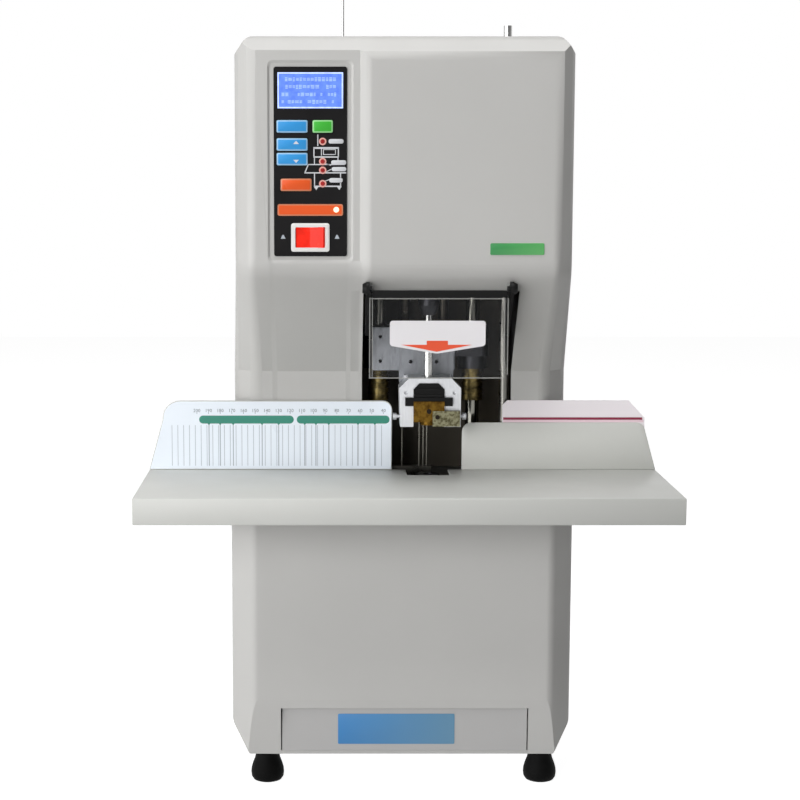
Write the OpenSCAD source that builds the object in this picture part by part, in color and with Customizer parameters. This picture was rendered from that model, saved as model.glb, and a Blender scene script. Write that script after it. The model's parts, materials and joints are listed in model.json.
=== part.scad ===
// Document riveting machine: a desk press that drills a stack of papers at its
// left edge and closes the hole with a hot-formed plastic tube.
// +X is to the operator's right, -Y points at the operator and Z is up.
// The origin lies on the desk, under the middle of the whole machine.

/* [Overall] */
// Depth from the front edge of the table to the rear cover
depth = 360; // [354:2:380]
// Height of the casing's top above the desk
case_top = 623; // [618:1:650]
// Height of the table's top face above the desk
table_z = 260; // [250:1:266]

/* [Casing] */
// Width of the casing at its widest
case_w = 286; // [280:1:292]
// Width of the head just behind its front bevels
head_w = 275; // [268:1:280]
// Width of the bevels beside the head's front face
head_bevel = 13; // [10:0.5:16]
// Distance of the casing's middle to the left of the table's middle
case_shift = 2; // [0:0.5:6]
// Distance of the head's front behind the table's front edge
head_setback = 66; // [60:1:70]
// Distance of the lower front behind the table's front edge
lower_setback = 71; // [68:1:76]
// Height of the head's underside above the table
head_gap = 162; // [158:1:166]
// Radius along the head's lower front edge
head_round = 20; // [14:1:24]
// Height and depth of the bevel along the head's top front edge
top_bevel = 16; // [10:1:20]
// Radius of the soft creases of the covers
crease_r = 10; // [6:1:12]
// Wall of the moulded front covers
shell_t = 3; // [2.5:0.1:3.5]
// Distance of the column's face behind the fences
column_back = 20; // [16:1:21]
// Distance of the joint between front and rear covers behind the machine's middle
seam_y = 42; // [40:1:50]
// Wall of the sheet-steel rear cover
rear_t = 1.5; // [1:0.1:2]
// Width of the opening in the front cover round the press
opening_w = 128; // [126:1:130]

/* [Table and fences] */
// Width of the table
table_w = 436; // [420:2:450]
// Height of the folded edge of the table
skirt_h = 21.5; // [18:0.5:24]
// Thickness of the table and fence sheet
sheet_t = 1.5; // [1.2:0.1:2]
// Distance of the fences behind the table's front edge
fence_setback = 136; // [134:1:137]
// Width of the gap between the fences
fence_gap = 60; // [58:1:62]
// Height of the left fence
left_fence_h = 60; // [56:1:62]
// Height of the right fence
right_fence_h = 41; // [38:1:44]

/* [Press and drill] */
// Place of the drill to the right of the table's middle
axis_x = 21; // [20:0.5:22]
// Distance of the drill in front of the fences
axis_front = 14; // [14:0.5:15]
// Height of the open press foot above the table
throat_h = 41; // [40:0.5:44]
// Travel of the press foot
press_travel = 38; // [30:1:38]
// Depth that the drill goes below the table's top
drill_depth = 4; // [2:0.5:5]
// Distance between the two guide columns
column_gap = 82; // [78:1:84]
// Diameter of the guide columns
column_d = 12; // [10:0.5:14]
// Diameter of the hollow drill
bit_d = 7; // [6:0.5:7.5]
// Bore of the hollow drill
bit_bore = 5; // [4:0.5:5.5]
// Diameter of the two lifting screws
screw_d = 9; // [8:0.5:10]

/* [Control panel] */
// Width of the control panel
panel_w = 59; // [58:0.5:61]
// Height of the control panel
panel_h = 151.5; // [150:0.5:154]
// Travel of the keys
key_travel = 0.6; // [0.3:0.1:0.8]
// Swing of the power rocker
rocker_swing = 12; // [8:1:14]

/* [Shield and drawer] */
// Width of the clear shield
shield_w = 109; // [107:1:110]
// Height of the clear shield below its pivot
shield_h = 73; // [68:1:76]
// Thickness of the clear shield
shield_t = 2; // [1.5:0.1:2.5]
// Width of the waste drawer's front
drawer_w = 206; // [196:1:208]
// Height of the waste drawer's front
drawer_h = 36.5; // [34:0.5:38]
// Length of the waste drawer's tray
tray_l = 160; // [140:2:170]

/* [Feet and tube feed] */
// Height of the rubber feet
foot_h = 27; // [25:1:28]
// Diameter of the rubber feet at the desk
foot_d = 28; // [24:1:30]
// Outer diameter of the tube guide
guide_d = 8; // [7:0.5:8.5]
// Bore for the plastic rivet tube
tube_bore = 5.4; // [5:0.1:5.8]
// Height of the tube inlet above the casing
inlet_h = 13; // [10:1:18]
// Height of the slim rod above the casing
rod_h = 77; // [60:1:90]

/* [Hidden] */
$fn = 48;
fit = 0.05; // radial running fit of shafts and screws
clear = 0.3; // side clearance of pieces that move
nib = 0.01; // how far a cut runs past a face

// casing
front_y = -depth / 2;
inlet_flange = 2; // the socket's flange is the rearmost face
back_y = depth / 2 - inlet_flange;
case_x = -case_shift;
case_x0 = case_x - case_w / 2;
case_x1 = case_x + case_w / 2;
face_w = head_w - 2 * head_bevel; // the flat front faces
head_y = front_y + head_setback;
lower_y = front_y + lower_setback;
fence_y = front_y + fence_setback;
fence_back = fence_y + sheet_t;
limit_t = 1;
foot_y = fence_back + limit_t; // front of the column's foot
column_y = fence_y + column_back;
under_z = table_z + head_gap;
deck_z = table_z - sheet_t;
skirt_z = table_z - skirt_h;
head_top_cut = [16, 22]; // width and height cut from the head's top corners
low_cut = [15, 25]; // width and height cut from the lower corners
panel_step = 4; // how far the head's right part stands proud
step_x = [case_x - 36, case_x - 28.5]; // the bevel between the head's two parts
crease_z = foot_h + 48; // crease across the lower front
low_back = 5; // how far the face below the crease leans back
slope_z = [table_z + 64, table_z + 85]; // the slope at the column's foot
deck_t = 3;
base_t = 3;
base_z = foot_h + base_t;

fence_x0 = -table_w / 2;
gap_x0 = axis_x - fence_gap / 2;
gap_x1 = axis_x + fence_gap / 2;
ruler_t = 0.4;

// frame and throat
axis_y = fence_y - axis_front;
open_x = axis_x + 8;
open_x0 = open_x - opening_w / 2;
open_x1 = open_x + opening_w / 2;
open_front = head_y + 28; // front edge of the opening in the head's underside
plate_t = 6;
plate_front = axis_y - 22; // front of the frame plates
plate_rear = back_y - 38;
bed_half = opening_w / 2 + 5; // half width of the bed between the frame plates
bed_x0 = open_x - bed_half;
bed_x1 = open_x + bed_half;
bed_t = 12;
bed_z = table_z - 10; // top of the bed
chip_r = 9; // the way that the chips fall through
throat_back = column_y + 6; // back of the gap in the C-shaped frame plates
motor_h = 38;
bridge_t = 12;
bridge_z = case_top - shell_t - 8 - motor_h - bridge_t;
stop_y = fence_back + 7.5;
column_r = column_d / 2;
column_cy = column_y + 14; // the guide columns stand here
column_x = [axis_x - column_gap / 2, axis_x + column_gap / 2];
column_seat = 8;
liner_t = 1;

// press and drill, at rest
foot_z = table_z + throat_h;
foot_w = [-25, 27]; // the press foot to the left and right of the drill
foot_y0 = axis_y - 12;
foot_y1 = axis_y + 12;
foot_pin = 3.5; // the pins beside the press foot stand out this far
arch_h = 37; // inner height of the press foot's arch
head_block_h = 17.5; // height of the brass rivet head
head_block_w = 26;
head_block_z = foot_z + 4.5;
insert_z = head_block_z + head_block_h;
cross_z = foot_z + 44; // underside of the crosshead's plate
cross_h = 37;
cross_t = 14;
cross_half = 54; // half width of the crosshead
cross_y0 = column_cy - 18;
cross_y1 = column_cy + 40;
liner_back = cross_y1 + 4;
face_plate_t = 6;
foot_back = cross_y0 - face_plate_t - 5; // the press foot meets its plate here
bush_r = 9;
bush_drop = 28; // the lower bushes hang this far below the crosshead
press_screw_x = axis_x - 17;
lift_screw_x = axis_x + 17;
screw_cy = column_cy + 28;
screw_r = screw_d / 2;
journal_r = 3;
tip_z = foot_z + 2;
drill_travel = tip_z - table_z + drill_depth;
carriage_z = cross_z + cross_h + drill_travel + 7;
carriage_t = 12;
chuck_z = cross_z + drill_travel + 3;
chuck_h = 32;
chuck_r = 9;
drill_motor_r = 22;
drill_motor_h = 80;
spindle_r = 4;

// control panel
panel_y = head_y + panel_step; // face of the head's left part
panel_x = case_x - 76.1;
panel_z = under_z + 100.25;
pocket_d = 1.5;
pocket_rim = 5; // width of the sloped rim round the panel
plate_face = panel_y + 0.5; // front of the panel plate
plate_back = panel_y + pocket_d;
display_size = [52.6, 28.5];
display_pos = [0, 57]; // place on the panel from its middle
key_out = 0.8;
board_gap = 7; // from the panel plate's back to the board
key_depth = plate_back + board_gap - plate_face - key_travel - 0.05; // ends short of the board
// sizes of the keys and the switch, and their places from the panel's middle
key_wide = [24.8, 9.9];
key_green = [16.2, 9.9];
start_key_pos = [-14.7, 28.4];
green_key_pos = [9.9, 28.4];
up_key_pos = [-14.7, 14];
down_key_pos = [-14.7, 2.4];
orange_key_pos = [-11.6, -18.2];
switch_pos = [-0.15, -60.5];
switch_size = [31, 23];
rocker_r = 11.7;
rocker_h = 16.6;
rocker_back = 3; // the rocker's axis lies this far behind the panel plate's face

// shield
pivot_y = head_y + 3;
pivot_z = under_z - 1.5;
pin_r = 2;
shield_x0 = open_x - 2 - shield_w / 2;
shield_x1 = shield_x0 + shield_w;
flap_y = pivot_y + 30;
bar_h = 6;
pane_drop = 7.5; // the pane's top edge lies this far below the pivot
bracket_t = 3;
bracket_gap = 0.5;
cap_r = 5.2; // round caps on the guard's pivots

// drawer, tube feed
drawer_x = case_x + 2.4;
drawer_z0 = base_z + clear;
drawer_y = lower_y + low_back - 1;
tray_w = drawer_w - 12;
tray_h = 28;
tray_y = drawer_y + shell_t;
tube_x = open_x1 - 2 - guide_d / 2;
tube_y = fence_back + 2 + guide_d / 2 + 0.5;
roller_r = 9;
roller_gap = 1; // half the nip between the feed rollers
roller_z = case_top - 31;
slim_x = case_x - 49.4;
vent_rows = 9;
vent_size = [46, 4];
inlet_size = [28, 20];
inlet_pos = [case_x - 92, foot_h + 40];
foot_x = case_x + 2.5;
foot_dx = case_w / 2 - 27;
foot_pos = [[foot_x - foot_dx, lower_y + 20], [foot_x + foot_dx, lower_y + 20],
            [foot_x - foot_dx, back_y - 30], [foot_x + foot_dx, back_y - 30]];
case_screw_pos = [for (z = [foot_h + 30, table_z, under_z, case_top - 50], side = [-1, 1])
    [case_x + side * (case_w / 2 - 20), z]];

// ---- shapes that repeat ----

// A block between two corners.
module block(lo, hi) {
    translate(lo) cube(hi - lo);
}

// A rod along Z at p, from z0 to z1.
module rod_z(p, r, z0, z1) {
    translate([p[0], p[1], z0]) cylinder(r = r, h = z1 - z0);
}

// A rod along X at [y, z].
module rod_x(x0, x1, p, r) {
    translate([x0, p[0], p[1]]) rotate([0, 90, 0]) cylinder(r = r, h = x1 - x0);
}

// A rod along Y at [x, z].
module rod_y(y0, y1, p, r) {
    translate([p[0], y0, p[1]]) rotate([-90, 0, 0]) cylinder(r = r, h = y1 - y0);
}

// A flat shape drawn in Y and Z, drawn out along X.
module along_x(x0, x1) {
    translate([x0, 0, 0]) rotate([90, 0, 90]) linear_extrude(x1 - x0) children();
}

// A flat shape drawn in X and Z, drawn out along Y.
module along_y(y0, y1) {
    translate([0, y1, 0]) rotate([90, 0, 0]) linear_extrude(y1 - y0) children();
}

// A flat rectangle with round corners between two corners.
module round_rect(lo, hi, r) {
    offset(r = r, $fn = 24) translate(lo + [r, r]) square(hi - lo - [2 * r, 2 * r]);
}

// Points on an arc round c from angle a0 to a1.
function arc(c, r, a0, a1, n = 6) =
    [for (i = [0:n]) let (a = a0 + (a1 - a0) * i / n) c + r * [cos(a), sin(a)]];

// Rounds the outward corners of a flat outline and draws it in by a wall.
module creased(t = 0) {
    offset(r = crease_r - t) offset(delta = -crease_r) children();
}

// ---- casing ----

// Plan of a front moulding: wide at the joint, narrower behind the front bevels.
function moulding_plan(y, w) = let (b = (w - face_w) / 2) [
    [case_x0, seam_y + 20], [case_x0, seam_y], [case_x - w / 2, y + b],
    [case_x - face_w / 2, y], [case_x + face_w / 2, y],
    [case_x + w / 2, y + b], [case_x1, seam_y], [case_x1, seam_y + 20]];

// Plan of the head: its left part, which holds the panel, stands a little back.
function head_plan() = let (b = (head_w - face_w) / 2, y = head_y + panel_step) [
    [case_x0, seam_y + 20], [case_x0, seam_y], [case_x - head_w / 2, y + b],
    [case_x - face_w / 2, y], [step_x[0], y], [step_x[1], head_y],
    [case_x + face_w / 2, head_y], [case_x + head_w / 2, head_y + b],
    [case_x1, seam_y], [case_x1, seam_y + 20]];

function head_side() = concat([[seam_y + 20, under_z]],
    arc([head_y + head_round, under_z + head_round], head_round, 270, 180, 8),
    [[head_y, case_top - top_bevel], [head_y + top_bevel, case_top], [seam_y + 20, case_top]]);

// Front view of the casing's top with its cut corners.
function top_outline(z0) = [
    [case_x0, z0], [case_x0, case_top - head_top_cut[1]],
    [case_x0 + head_top_cut[0], case_top], [case_x1 - head_top_cut[0], case_top],
    [case_x1, case_top - head_top_cut[1]], [case_x1, z0]];

// Front view of the casing's lower part with its cut corners.
function low_outline(z1) = [
    [case_x0 + low_cut[0], foot_h - 20], [case_x0 + low_cut[0], foot_h],
    [case_x0, foot_h + low_cut[1]], [case_x0, z1], [case_x1, z1],
    [case_x1, foot_h + low_cut[1]], [case_x1 - low_cut[0], foot_h],
    [case_x1 - low_cut[0], foot_h - 20]];

function lower_side() = [
    [seam_y + 20, foot_h - 20], [lower_y + low_back, foot_h - 20], [lower_y + low_back, foot_h],
    [lower_y, crease_z], [lower_y, deck_z + 30], [seam_y + 20, deck_z + 30]];

module head_block(t) {
    intersection() {
        translate([0, 0, under_z - 5]) linear_extrude(case_top - under_z + 10)
            creased(t) polygon(head_plan());
        along_x(case_x0 - 5, case_x1 + 5) creased(t) polygon(head_side());
        along_y(front_y, seam_y + 30) creased(t) polygon(top_outline(under_z - 30));
    }
}

module column_block(t) {
    top = under_z + 20;
    translate([0, 0, deck_z - t]) linear_extrude(top - deck_z)
        creased(t) polygon(moulding_plan(column_y, case_w - nib));
    intersection() {
        translate([0, 0, deck_z - t]) linear_extrude(slope_z[1] - deck_z)
            creased(t) polygon(moulding_plan(foot_y, case_w - nib));
        along_x(case_x0 - 5, case_x1 + 5) offset(delta = -t) polygon([
            [seam_y + 20, deck_z - 20], [foot_y, deck_z - 20], [foot_y, slope_z[0]],
            [column_y, slope_z[1]], [seam_y + 20, slope_z[1]]]);
    }
}

// The window behind the panel plate, for the keys, the display and the switch.
module panel_window(margin, y0, y1) {
    along_y(y0, y1) round_rect(
        [panel_x - panel_w / 2 - margin, panel_z - panel_h / 2 - margin],
        [panel_x + panel_w / 2 + margin, panel_z + panel_h / 2 + margin], 4);
}

module front_cover() {
    color("gainsboro") difference() {
        union() {
            head_block(0);
            column_block(0);
        }
        head_block(shell_t);
        column_block(shell_t);
        block([case_x0 - 9, seam_y, 0], [case_x1 + 9, back_y, case_top + 9]);
        block([open_x0, foot_y - 9, deck_z - 9],
              [open_x1, column_y + shell_t + 3, under_z + shell_t + nib]);
        block([open_x0, open_front, under_z - 5],
              [open_x1, column_y + 5, under_z + shell_t + nib]);
        panel_window(pocket_rim, panel_y - 9, panel_y);
        hull() {
            panel_window(pocket_rim, panel_y - nib, panel_y);
            panel_window(0.5, panel_y + pocket_d - nib, panel_y + pocket_d);
        }
        panel_window(-1.5, panel_y - 9, panel_y + 20);
        rod_z([tube_x, tube_y], guide_d / 2 + clear, case_top - 9, case_top + 9);
        rod_z([slim_x, tube_y], 3, case_top - 9, case_top + 9);
    }
}

module lower_cover() {
    color("gainsboro") difference() {
        lower_block(0, foot_h, deck_z);
        lower_block(shell_t, foot_h - 9, deck_z - deck_t);
        intersection() {
            lower_block(shell_t, foot_h, deck_z + 9);
            block([case_x0, front_y, foot_h], [case_x1, fence_back, deck_z + 9]);
        }
        block([bed_x0 - plate_t - 1, fence_back - 9, deck_z - 9],
              [bed_x1 + plate_t + 1, seam_y + 9, deck_z + 9]);
        block([case_x0 - 9, seam_y, 0], [case_x1 + 9, back_y, case_top]);
        block([drawer_x - drawer_w / 2 - 1, front_y, base_z],
              [drawer_x + drawer_w / 2 + 1, lower_y + 15, drawer_z0 + drawer_h + 1]);
    }
}

module lower_block(t, z0, z1) {
    intersection() {
        translate([0, 0, z0]) linear_extrude(z1 - z0)
            creased(t) polygon(moulding_plan(lower_y, case_w - nib));
        along_x(case_x0 - 5, case_x1 + 5) offset(delta = -t) polygon(lower_side());
        along_y(front_y, seam_y + 30) creased(t) polygon(low_outline(deck_z + 50));
    }
}

module rear_block(t, z0) {
    intersection() {
        translate([0, 0, z0]) linear_extrude(case_top - z0 + 10)
            creased(t) polygon([
                [case_x0, seam_y - 20], [case_x0, back_y - 10], [case_x0 + 10, back_y],
                [case_x1 - 10, back_y], [case_x1, back_y - 10], [case_x1, seam_y - 20]]);
        along_y(seam_y - 30, back_y + 5) creased(t) polygon(top_outline(0));
        along_y(seam_y - 30, back_y + 5) creased(t) polygon(low_outline(case_top + 50));
    }
}

module rear_cover() {
    color("gainsboro") difference() {
        rear_block(0, foot_h);
        rear_block(rear_t, foot_h - 9);
        block([case_x0 - 9, seam_y - 50, 0], [case_x1 + 9, seam_y, case_top + 9]);
        for (side = [-1, 1], i = [0:vent_rows - 1])
            along_y(back_y - 9, back_y + 9)
                round_rect([case_x + side * 62 - vent_size[0] / 2, case_top - 70 - i * 10],
                           [case_x + side * 62 + vent_size[0] / 2,
                            case_top - 70 - i * 10 + vent_size[1]], 1.9);
        along_y(back_y - 9, back_y + 9)
            round_rect(inlet_pos - inlet_size / 2, inlet_pos + inlet_size / 2, 2);
    }
}

module base_plate() {
    half = case_w / 2 - low_cut[0] - 4;
    color("dimgray") difference() {
        block([case_x - half, lower_y + low_back + shell_t + clear, foot_h],
              [case_x + half, back_y - rear_t - clear, base_z]);
        for (p = foot_pos) rod_z(p, 2.5, foot_h - 9, base_z + 9);
        for (i = [-2:2]) block([case_x - 40 + i * 22 - 3, back_y - 108, foot_h - 9],
                               [case_x - 40 + i * 22 + 3, back_y - 58, base_z + 9]);
    }
}

module rubber_feet() {
    r = foot_d / 2;
    color([0.08, 0.08, 0.08]) for (p = foot_pos)
        translate([p[0], p[1], 0]) rotate_extrude() polygon([
            [0, 2], [r - 6, 2], [r - 5, 0], [r - 1, 0], [r, 1], [r, 5], [r - 4, foot_h - 7],
            [r - 4, foot_h], [2.5, foot_h], [0, foot_h]]);
}

// ---- frame ----

// Two C-shaped steel plates, which take the force of the press.
module frame_plates() {
    top = bridge_z + bridge_t;
    tray_end = tray_y + tray_l + 8;
    color("slategray") for (x = [bed_x0 - plate_t, bed_x1]) difference() {
        along_x(x, x + plate_t) polygon(concat(
            [[plate_rear, base_z], [plate_rear, top], [plate_front + 8, top],
             [plate_front, top - 12], [plate_front, under_z + 22],
             [plate_front + 10, under_z + 10]],
            arc([throat_back + 8, under_z + 2], 8, 90, 180, 4),
            arc([throat_back + 8, bed_z + 8], 8, 180, 270, 4),
            [[plate_front, bed_z], [plate_front, bed_z - 50],
             [tray_end, base_z + 50], [tray_end, base_z]]));
        for (z = [base_z + 60, bed_z + 70, under_z + 60])
            rod_x(x - 9, x + 19, [plate_rear - 45, z], 16);
    }
}

module bed_plate() {
    color("slategray") difference() {
        block([bed_x0, axis_y - 24, bed_z - bed_t], [bed_x1, liner_back, bed_z]);
        for (x = column_x)
            rod_z([x, column_cy], column_r + fit / 2, bed_z - column_seat, bed_z + 9);
        rod_z([axis_x, axis_y], chip_r, bed_z - 99, bed_z + 9);
        block([axis_x - chip_r, axis_y - 99, bed_z - 99], [axis_x + chip_r, axis_y, bed_z + 9]);
        rod_z([tube_x, tube_y], guide_d / 2 + fit / 2, bed_z - column_seat, bed_z + 9);
    }
}

module top_bridge() {
    top = bridge_z + bridge_t;
    color("slategray") difference() {
        union() {
            block([bed_x0, plate_front + 8, bridge_z], [bed_x1, plate_rear - 80, top]);
            // ear that carries the feed motor
            block([tube_x - roller_r - 30, tube_y + 9, top - nib],
                  [tube_x - roller_gap, tube_y + 14, roller_z + 14]);
            // post of the pinch roller
            block([tube_x + roller_gap + 1, tube_y + 9, top - nib],
                  [tube_x + roller_gap + 2 * roller_r - 1, tube_y + 14, roller_z + 8]);
        }
        for (x = column_x) rod_z([x, column_cy], column_r + fit / 2, bridge_z - 9,
                                 bridge_z + column_seat);
        for (x = [press_screw_x, lift_screw_x])
            rod_z([x, screw_cy], journal_r + fit, bridge_z - 9, top + 9);
        rod_z([tube_x, tube_y], guide_d / 2 + fit / 2, bridge_z - 9, top + 9);
        rod_y(tube_y - 9, tube_y + 30, [tube_x - roller_gap - roller_r, roller_z], 3);
        rod_y(tube_y - 9, tube_y + 30, [tube_x + roller_gap + roller_r, roller_z], 2 + fit);
    }
}

module guide_columns() {
    color("silver") for (x = column_x)
        rod_z([x, column_cy], column_r, bed_z - column_seat, bridge_z + column_seat);
}

// Black sheet that closes the throat behind the press.
module cavity_liner() {
    color([0.06, 0.06, 0.06]) difference() {
        block([bed_x0, throat_back, bed_z], [bed_x1, liner_back, under_z + 8]);
        block([bed_x0 + liner_t, throat_back - 9, bed_z - 9],
              [bed_x1 - liner_t, liner_back - liner_t, under_z + 19]);
    }
}

// ---- table and fences ----

module work_table() {
    color("whitesmoke") difference() {
        block([-table_w / 2, front_y, skirt_z], [table_w / 2, fence_back, table_z]);
        block([-table_w / 2 + sheet_t, front_y + sheet_t, skirt_z - 9],
              [table_w / 2 - sheet_t, fence_back + 9, deck_z]);
        block([axis_x - 18, axis_y - 13, deck_z - 9], [axis_x + 18, fence_back + 9, table_z + 9]);
    }
}

// Outline of the left fence: an upright sheet that the papers' edges rest on.
module left_outline() {
    z = table_z;
    polygon(concat(
        [[fence_x0, z], [fence_x0 + 12, z + left_fence_h - 16]],
        arc([fence_x0 + 27, z + left_fence_h - 15], 15, 165, 90, 5),
        arc([gap_x0 - 8, z + left_fence_h - 8], 8, 90, 0, 5),
        [[gap_x0, z]]));
}

module left_fence() {
    color("whitesmoke") along_y(fence_y, fence_back) left_outline();
}

module right_fence() {
    z = table_z;
    x1 = -fence_x0;
    color("whitesmoke") along_y(fence_y, fence_back) polygon(concat(
        [[x1, z]],
        arc([x1 - 17.5, z + right_fence_h - 8], 8, 15, 90, 5),
        arc([gap_x1 + 8, z + right_fence_h - 8], 8, 90, 180, 5),
        [[gap_x1, z]]));
}

// The scale on the left fence; zero lies under the drill.
module ruler_plate() {
    color("aliceblue") along_y(fence_y - ruler_t, fence_y) offset(delta = -0.8) left_outline();
}

// The plate behind the right fence; its top shows how thick a stack may be.
module limit_plate() {
    z = table_z + right_fence_h;
    limit_x0 = open_x1 - 7.3;
    color("white") along_y(fence_back, fence_back + limit_t) polygon([
        [limit_x0, z - 14], [limit_x0, z + 15], [limit_x0 + 4, z + 19],
        [-fence_x0 - 24, z + 19], [-fence_x0 - 10, z + 4], [-fence_x0 - 10, z - 14]]);
}

// A bar behind the table's slot, with slender rods that steady the tube.
module rear_stop() {
    color("lightgray") union() {
        block([axis_x - 29, stop_y, bed_z], [axis_x + 4, stop_y + 6, table_z + 2]);
        for (x = [-21, -6, -2.5, 0.5])
            rod_z([axis_x + x, stop_y + 3], 0.9, table_z, table_z + 43);
    }
}

module anvil() {
    color("darkgoldenrod") difference() {
        union() {
            block([axis_x - 15, axis_y - 11, bed_z], [axis_x + 15, axis_y + 13, deck_z - 3]);
            rod_z([axis_x, axis_y], 10, bed_z, table_z - 1);
        }
        rod_z([axis_x, axis_y], bit_d / 2 + 0.5, bed_z - 9, table_z + 9);
    }
}

// Paper dust falls through here into the waste drawer.
module chip_chute() {
    top = bed_z - bed_t;
    color("gray") difference() {
        union() {
            rod_z([axis_x, axis_y], chip_r + 2, drawer_z0 + tray_h + 6, top);
            rod_z([axis_x, axis_y], chip_r + 7, top - 3, top);
        }
        rod_z([axis_x, axis_y], chip_r, drawer_z0, top + 9);
    }
}

// ---- control panel ----

function on_panel(p) = [panel_x + p[0], panel_z + p[1]];

module panel_cut(pos, size, r = 1.5, gap = 0) {
    c = on_panel(pos);
    along_y(plate_face - 20, plate_face + 30)
        round_rect(c - size / 2 - [gap, gap], c + size / 2 + [gap, gap], r);
}

module control_panel() {
    color([0.05, 0.05, 0.07]) difference() {
        along_y(plate_face, plate_back)
            round_rect([panel_x - panel_w / 2, panel_z - panel_h / 2],
                       [panel_x + panel_w / 2, panel_z + panel_h / 2], 2);
        panel_cut(display_pos, display_size);
        for (p = [start_key_pos, up_key_pos, down_key_pos, orange_key_pos])
            panel_cut(p, key_wide, 1.5, clear);
        panel_cut(green_key_pos, key_green, 1.5, clear);
        panel_cut(switch_pos, switch_size - [4, 4]);
    }
}

module display() {
    c = on_panel(display_pos);
    color("cornflowerblue") along_y(plate_face, plate_back + board_gap)
        round_rect(c - display_size / 2, c + display_size / 2, 1.4);
}

module key(pos, size) {
    c = on_panel(pos);
    along_y(plate_face - key_out, plate_face + key_depth)
        round_rect(c - size / 2, c + size / 2, 1.2);
}

module start_key() { color("dodgerblue") key(start_key_pos, key_wide); }
module up_key() { color("dodgerblue") key(up_key_pos, key_wide); }
module down_key() { color("dodgerblue") key(down_key_pos, key_wide); }
module green_key() { color("limegreen") key(green_key_pos, key_green); }
module orange_key() { color("orangered") key(orange_key_pos, key_wide); }

// Frame of the power switch with its housing behind the panel.
module power_switch() {
    c = on_panel(switch_pos);
    body = switch_size - [4.4, 4.4];
    color("white") difference() {
        union() {
            along_y(plate_face - 1.5, plate_face)
                round_rect(c - switch_size / 2, c + switch_size / 2, 2);
            along_y(plate_face - nib, plate_face + 20)
                translate(c - body / 2) square(body);
        }
        translate([c[0], plate_face + rocker_back, c[1] - rocker_h / 2 - clear])
            cylinder(r = rocker_r + clear, h = rocker_h + 2 * clear);
        block([c[0] - rocker_r - clear, plate_face - 9, c[1] - rocker_h / 2 - clear],
              [c[0] + rocker_r + clear, plate_face + rocker_back, c[1] + rocker_h / 2 + clear]);
    }
}

// Red rocker, at rest tilted to one side; it swings about an upright axis.
module power_rocker() {
    c = on_panel(switch_pos);
    color("red") translate([c[0], plate_face + rocker_back, c[1] - rocker_h / 2])
        rotate([0, 0, -rocker_swing / 2]) linear_extrude(rocker_h) intersection() {
            circle(r = rocker_r);
            polygon([[-rocker_r, 8], [-rocker_r, -4.5], [0, -3.6], [rocker_r, -4.5],
                [rocker_r, 8]]);
        }
}

// Board behind the keys, on four posts from the inside of the front cover.
module panel_board() {
    y = plate_back + board_gap;
    w = panel_w / 2 + 5;
    h = panel_h / 2 + 1;
    low = on_panel(switch_pos)[1] + switch_size[1] / 2 + 3;
    color("seagreen") {
        block([panel_x - w, y, low], [panel_x + w, y + 1.6, panel_z + h]);
        for (x = [-w + 2.5, w - 2.5], z = [low + 3, panel_z + h - 3])
            rod_y(panel_y + shell_t, y, [panel_x + x, z], 2);
    }
}

// ---- shield ----

module shield_profile(grow = 0) {
    hull() {
        translate([pivot_y, pivot_z]) circle(r = 5 + grow);
        translate([pivot_y - shield_t / 2, pivot_z - 12]) square([24, 4]);
    }
    polygon([[pivot_y - shield_t / 2, pivot_z - 10], [pivot_y - shield_t / 2, pivot_z - shield_h],
        [flap_y - 6, pivot_z - shield_h], [flap_y, pivot_z - shield_h + 6],
        [flap_y, pivot_z - 24], [pivot_y + 23, pivot_z - 10]]);
}

// Clear guard in front of the press: a front pane and two side flaps.
module shield() {
    color([0.7, 0.8, 0.85, 0.4]) difference() {
        union() {
            for (x = [shield_x0 - shield_t, shield_x1])
                along_x(x, x + shield_t) shield_profile();
            block([shield_x0 - nib, pivot_y - shield_t / 2, pivot_z - shield_h],
                  [shield_x1 + nib, pivot_y + shield_t / 2, pivot_z - pane_drop]);
        }
        for (x = [shield_x0 - shield_t, shield_x1])
            rod_x(x - 1, x + shield_t + 1, [pivot_y, pivot_z], pin_r + fit);
    }
}

module shield_bar() {
    y = pivot_y - shield_t / 2;
    z = pivot_z - pane_drop + bar_h;
    color([0.06, 0.06, 0.06]) {
        block([shield_x0 + 0.05, y, z - bar_h + nib], [shield_x1 - 0.05, y + shield_t, z]);
    }
}

// Black ears, hung from inside the head, which carry the shield's pivots.
module shield_brackets() {
    neck_y = open_front + 0.5;
    flange_z = shell_t;
    color([0.06, 0.06, 0.06]) for (side = [0, 1]) {
        x0 = side == 0 ? shield_x0 - shield_t - bracket_gap - bracket_t
                       : shield_x1 + shield_t + bracket_gap;
        out0 = side == 0 ? x0 - 12 : x0;
        difference() {
            union() {
                along_x(x0, x0 + bracket_t) {
                    translate([pivot_y, pivot_z]) circle(r = 5.5);
                    translate([neck_y + 8, under_z - 40]) circle(r = 3);
                    polygon([[pivot_y - 4.2, pivot_z - 3.5], [pivot_y, under_z - 1],
                             [neck_y + 11, under_z - 1], [neck_y + 11, under_z - 40],
                             [neck_y + 5.4, under_z - 41.5]]);
                    translate([neck_y, under_z - 9]) square([11, 9 + flange_z + bracket_t]);
                }
                block([out0, neck_y, under_z + flange_z],
                      [out0 + bracket_t + 12, neck_y + 11, under_z + flange_z + bracket_t]);
            }
            rod_x(x0 - 9, x0 + 19, [pivot_y, pivot_z], pin_r + fit / 2);
        }
    }
}

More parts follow.
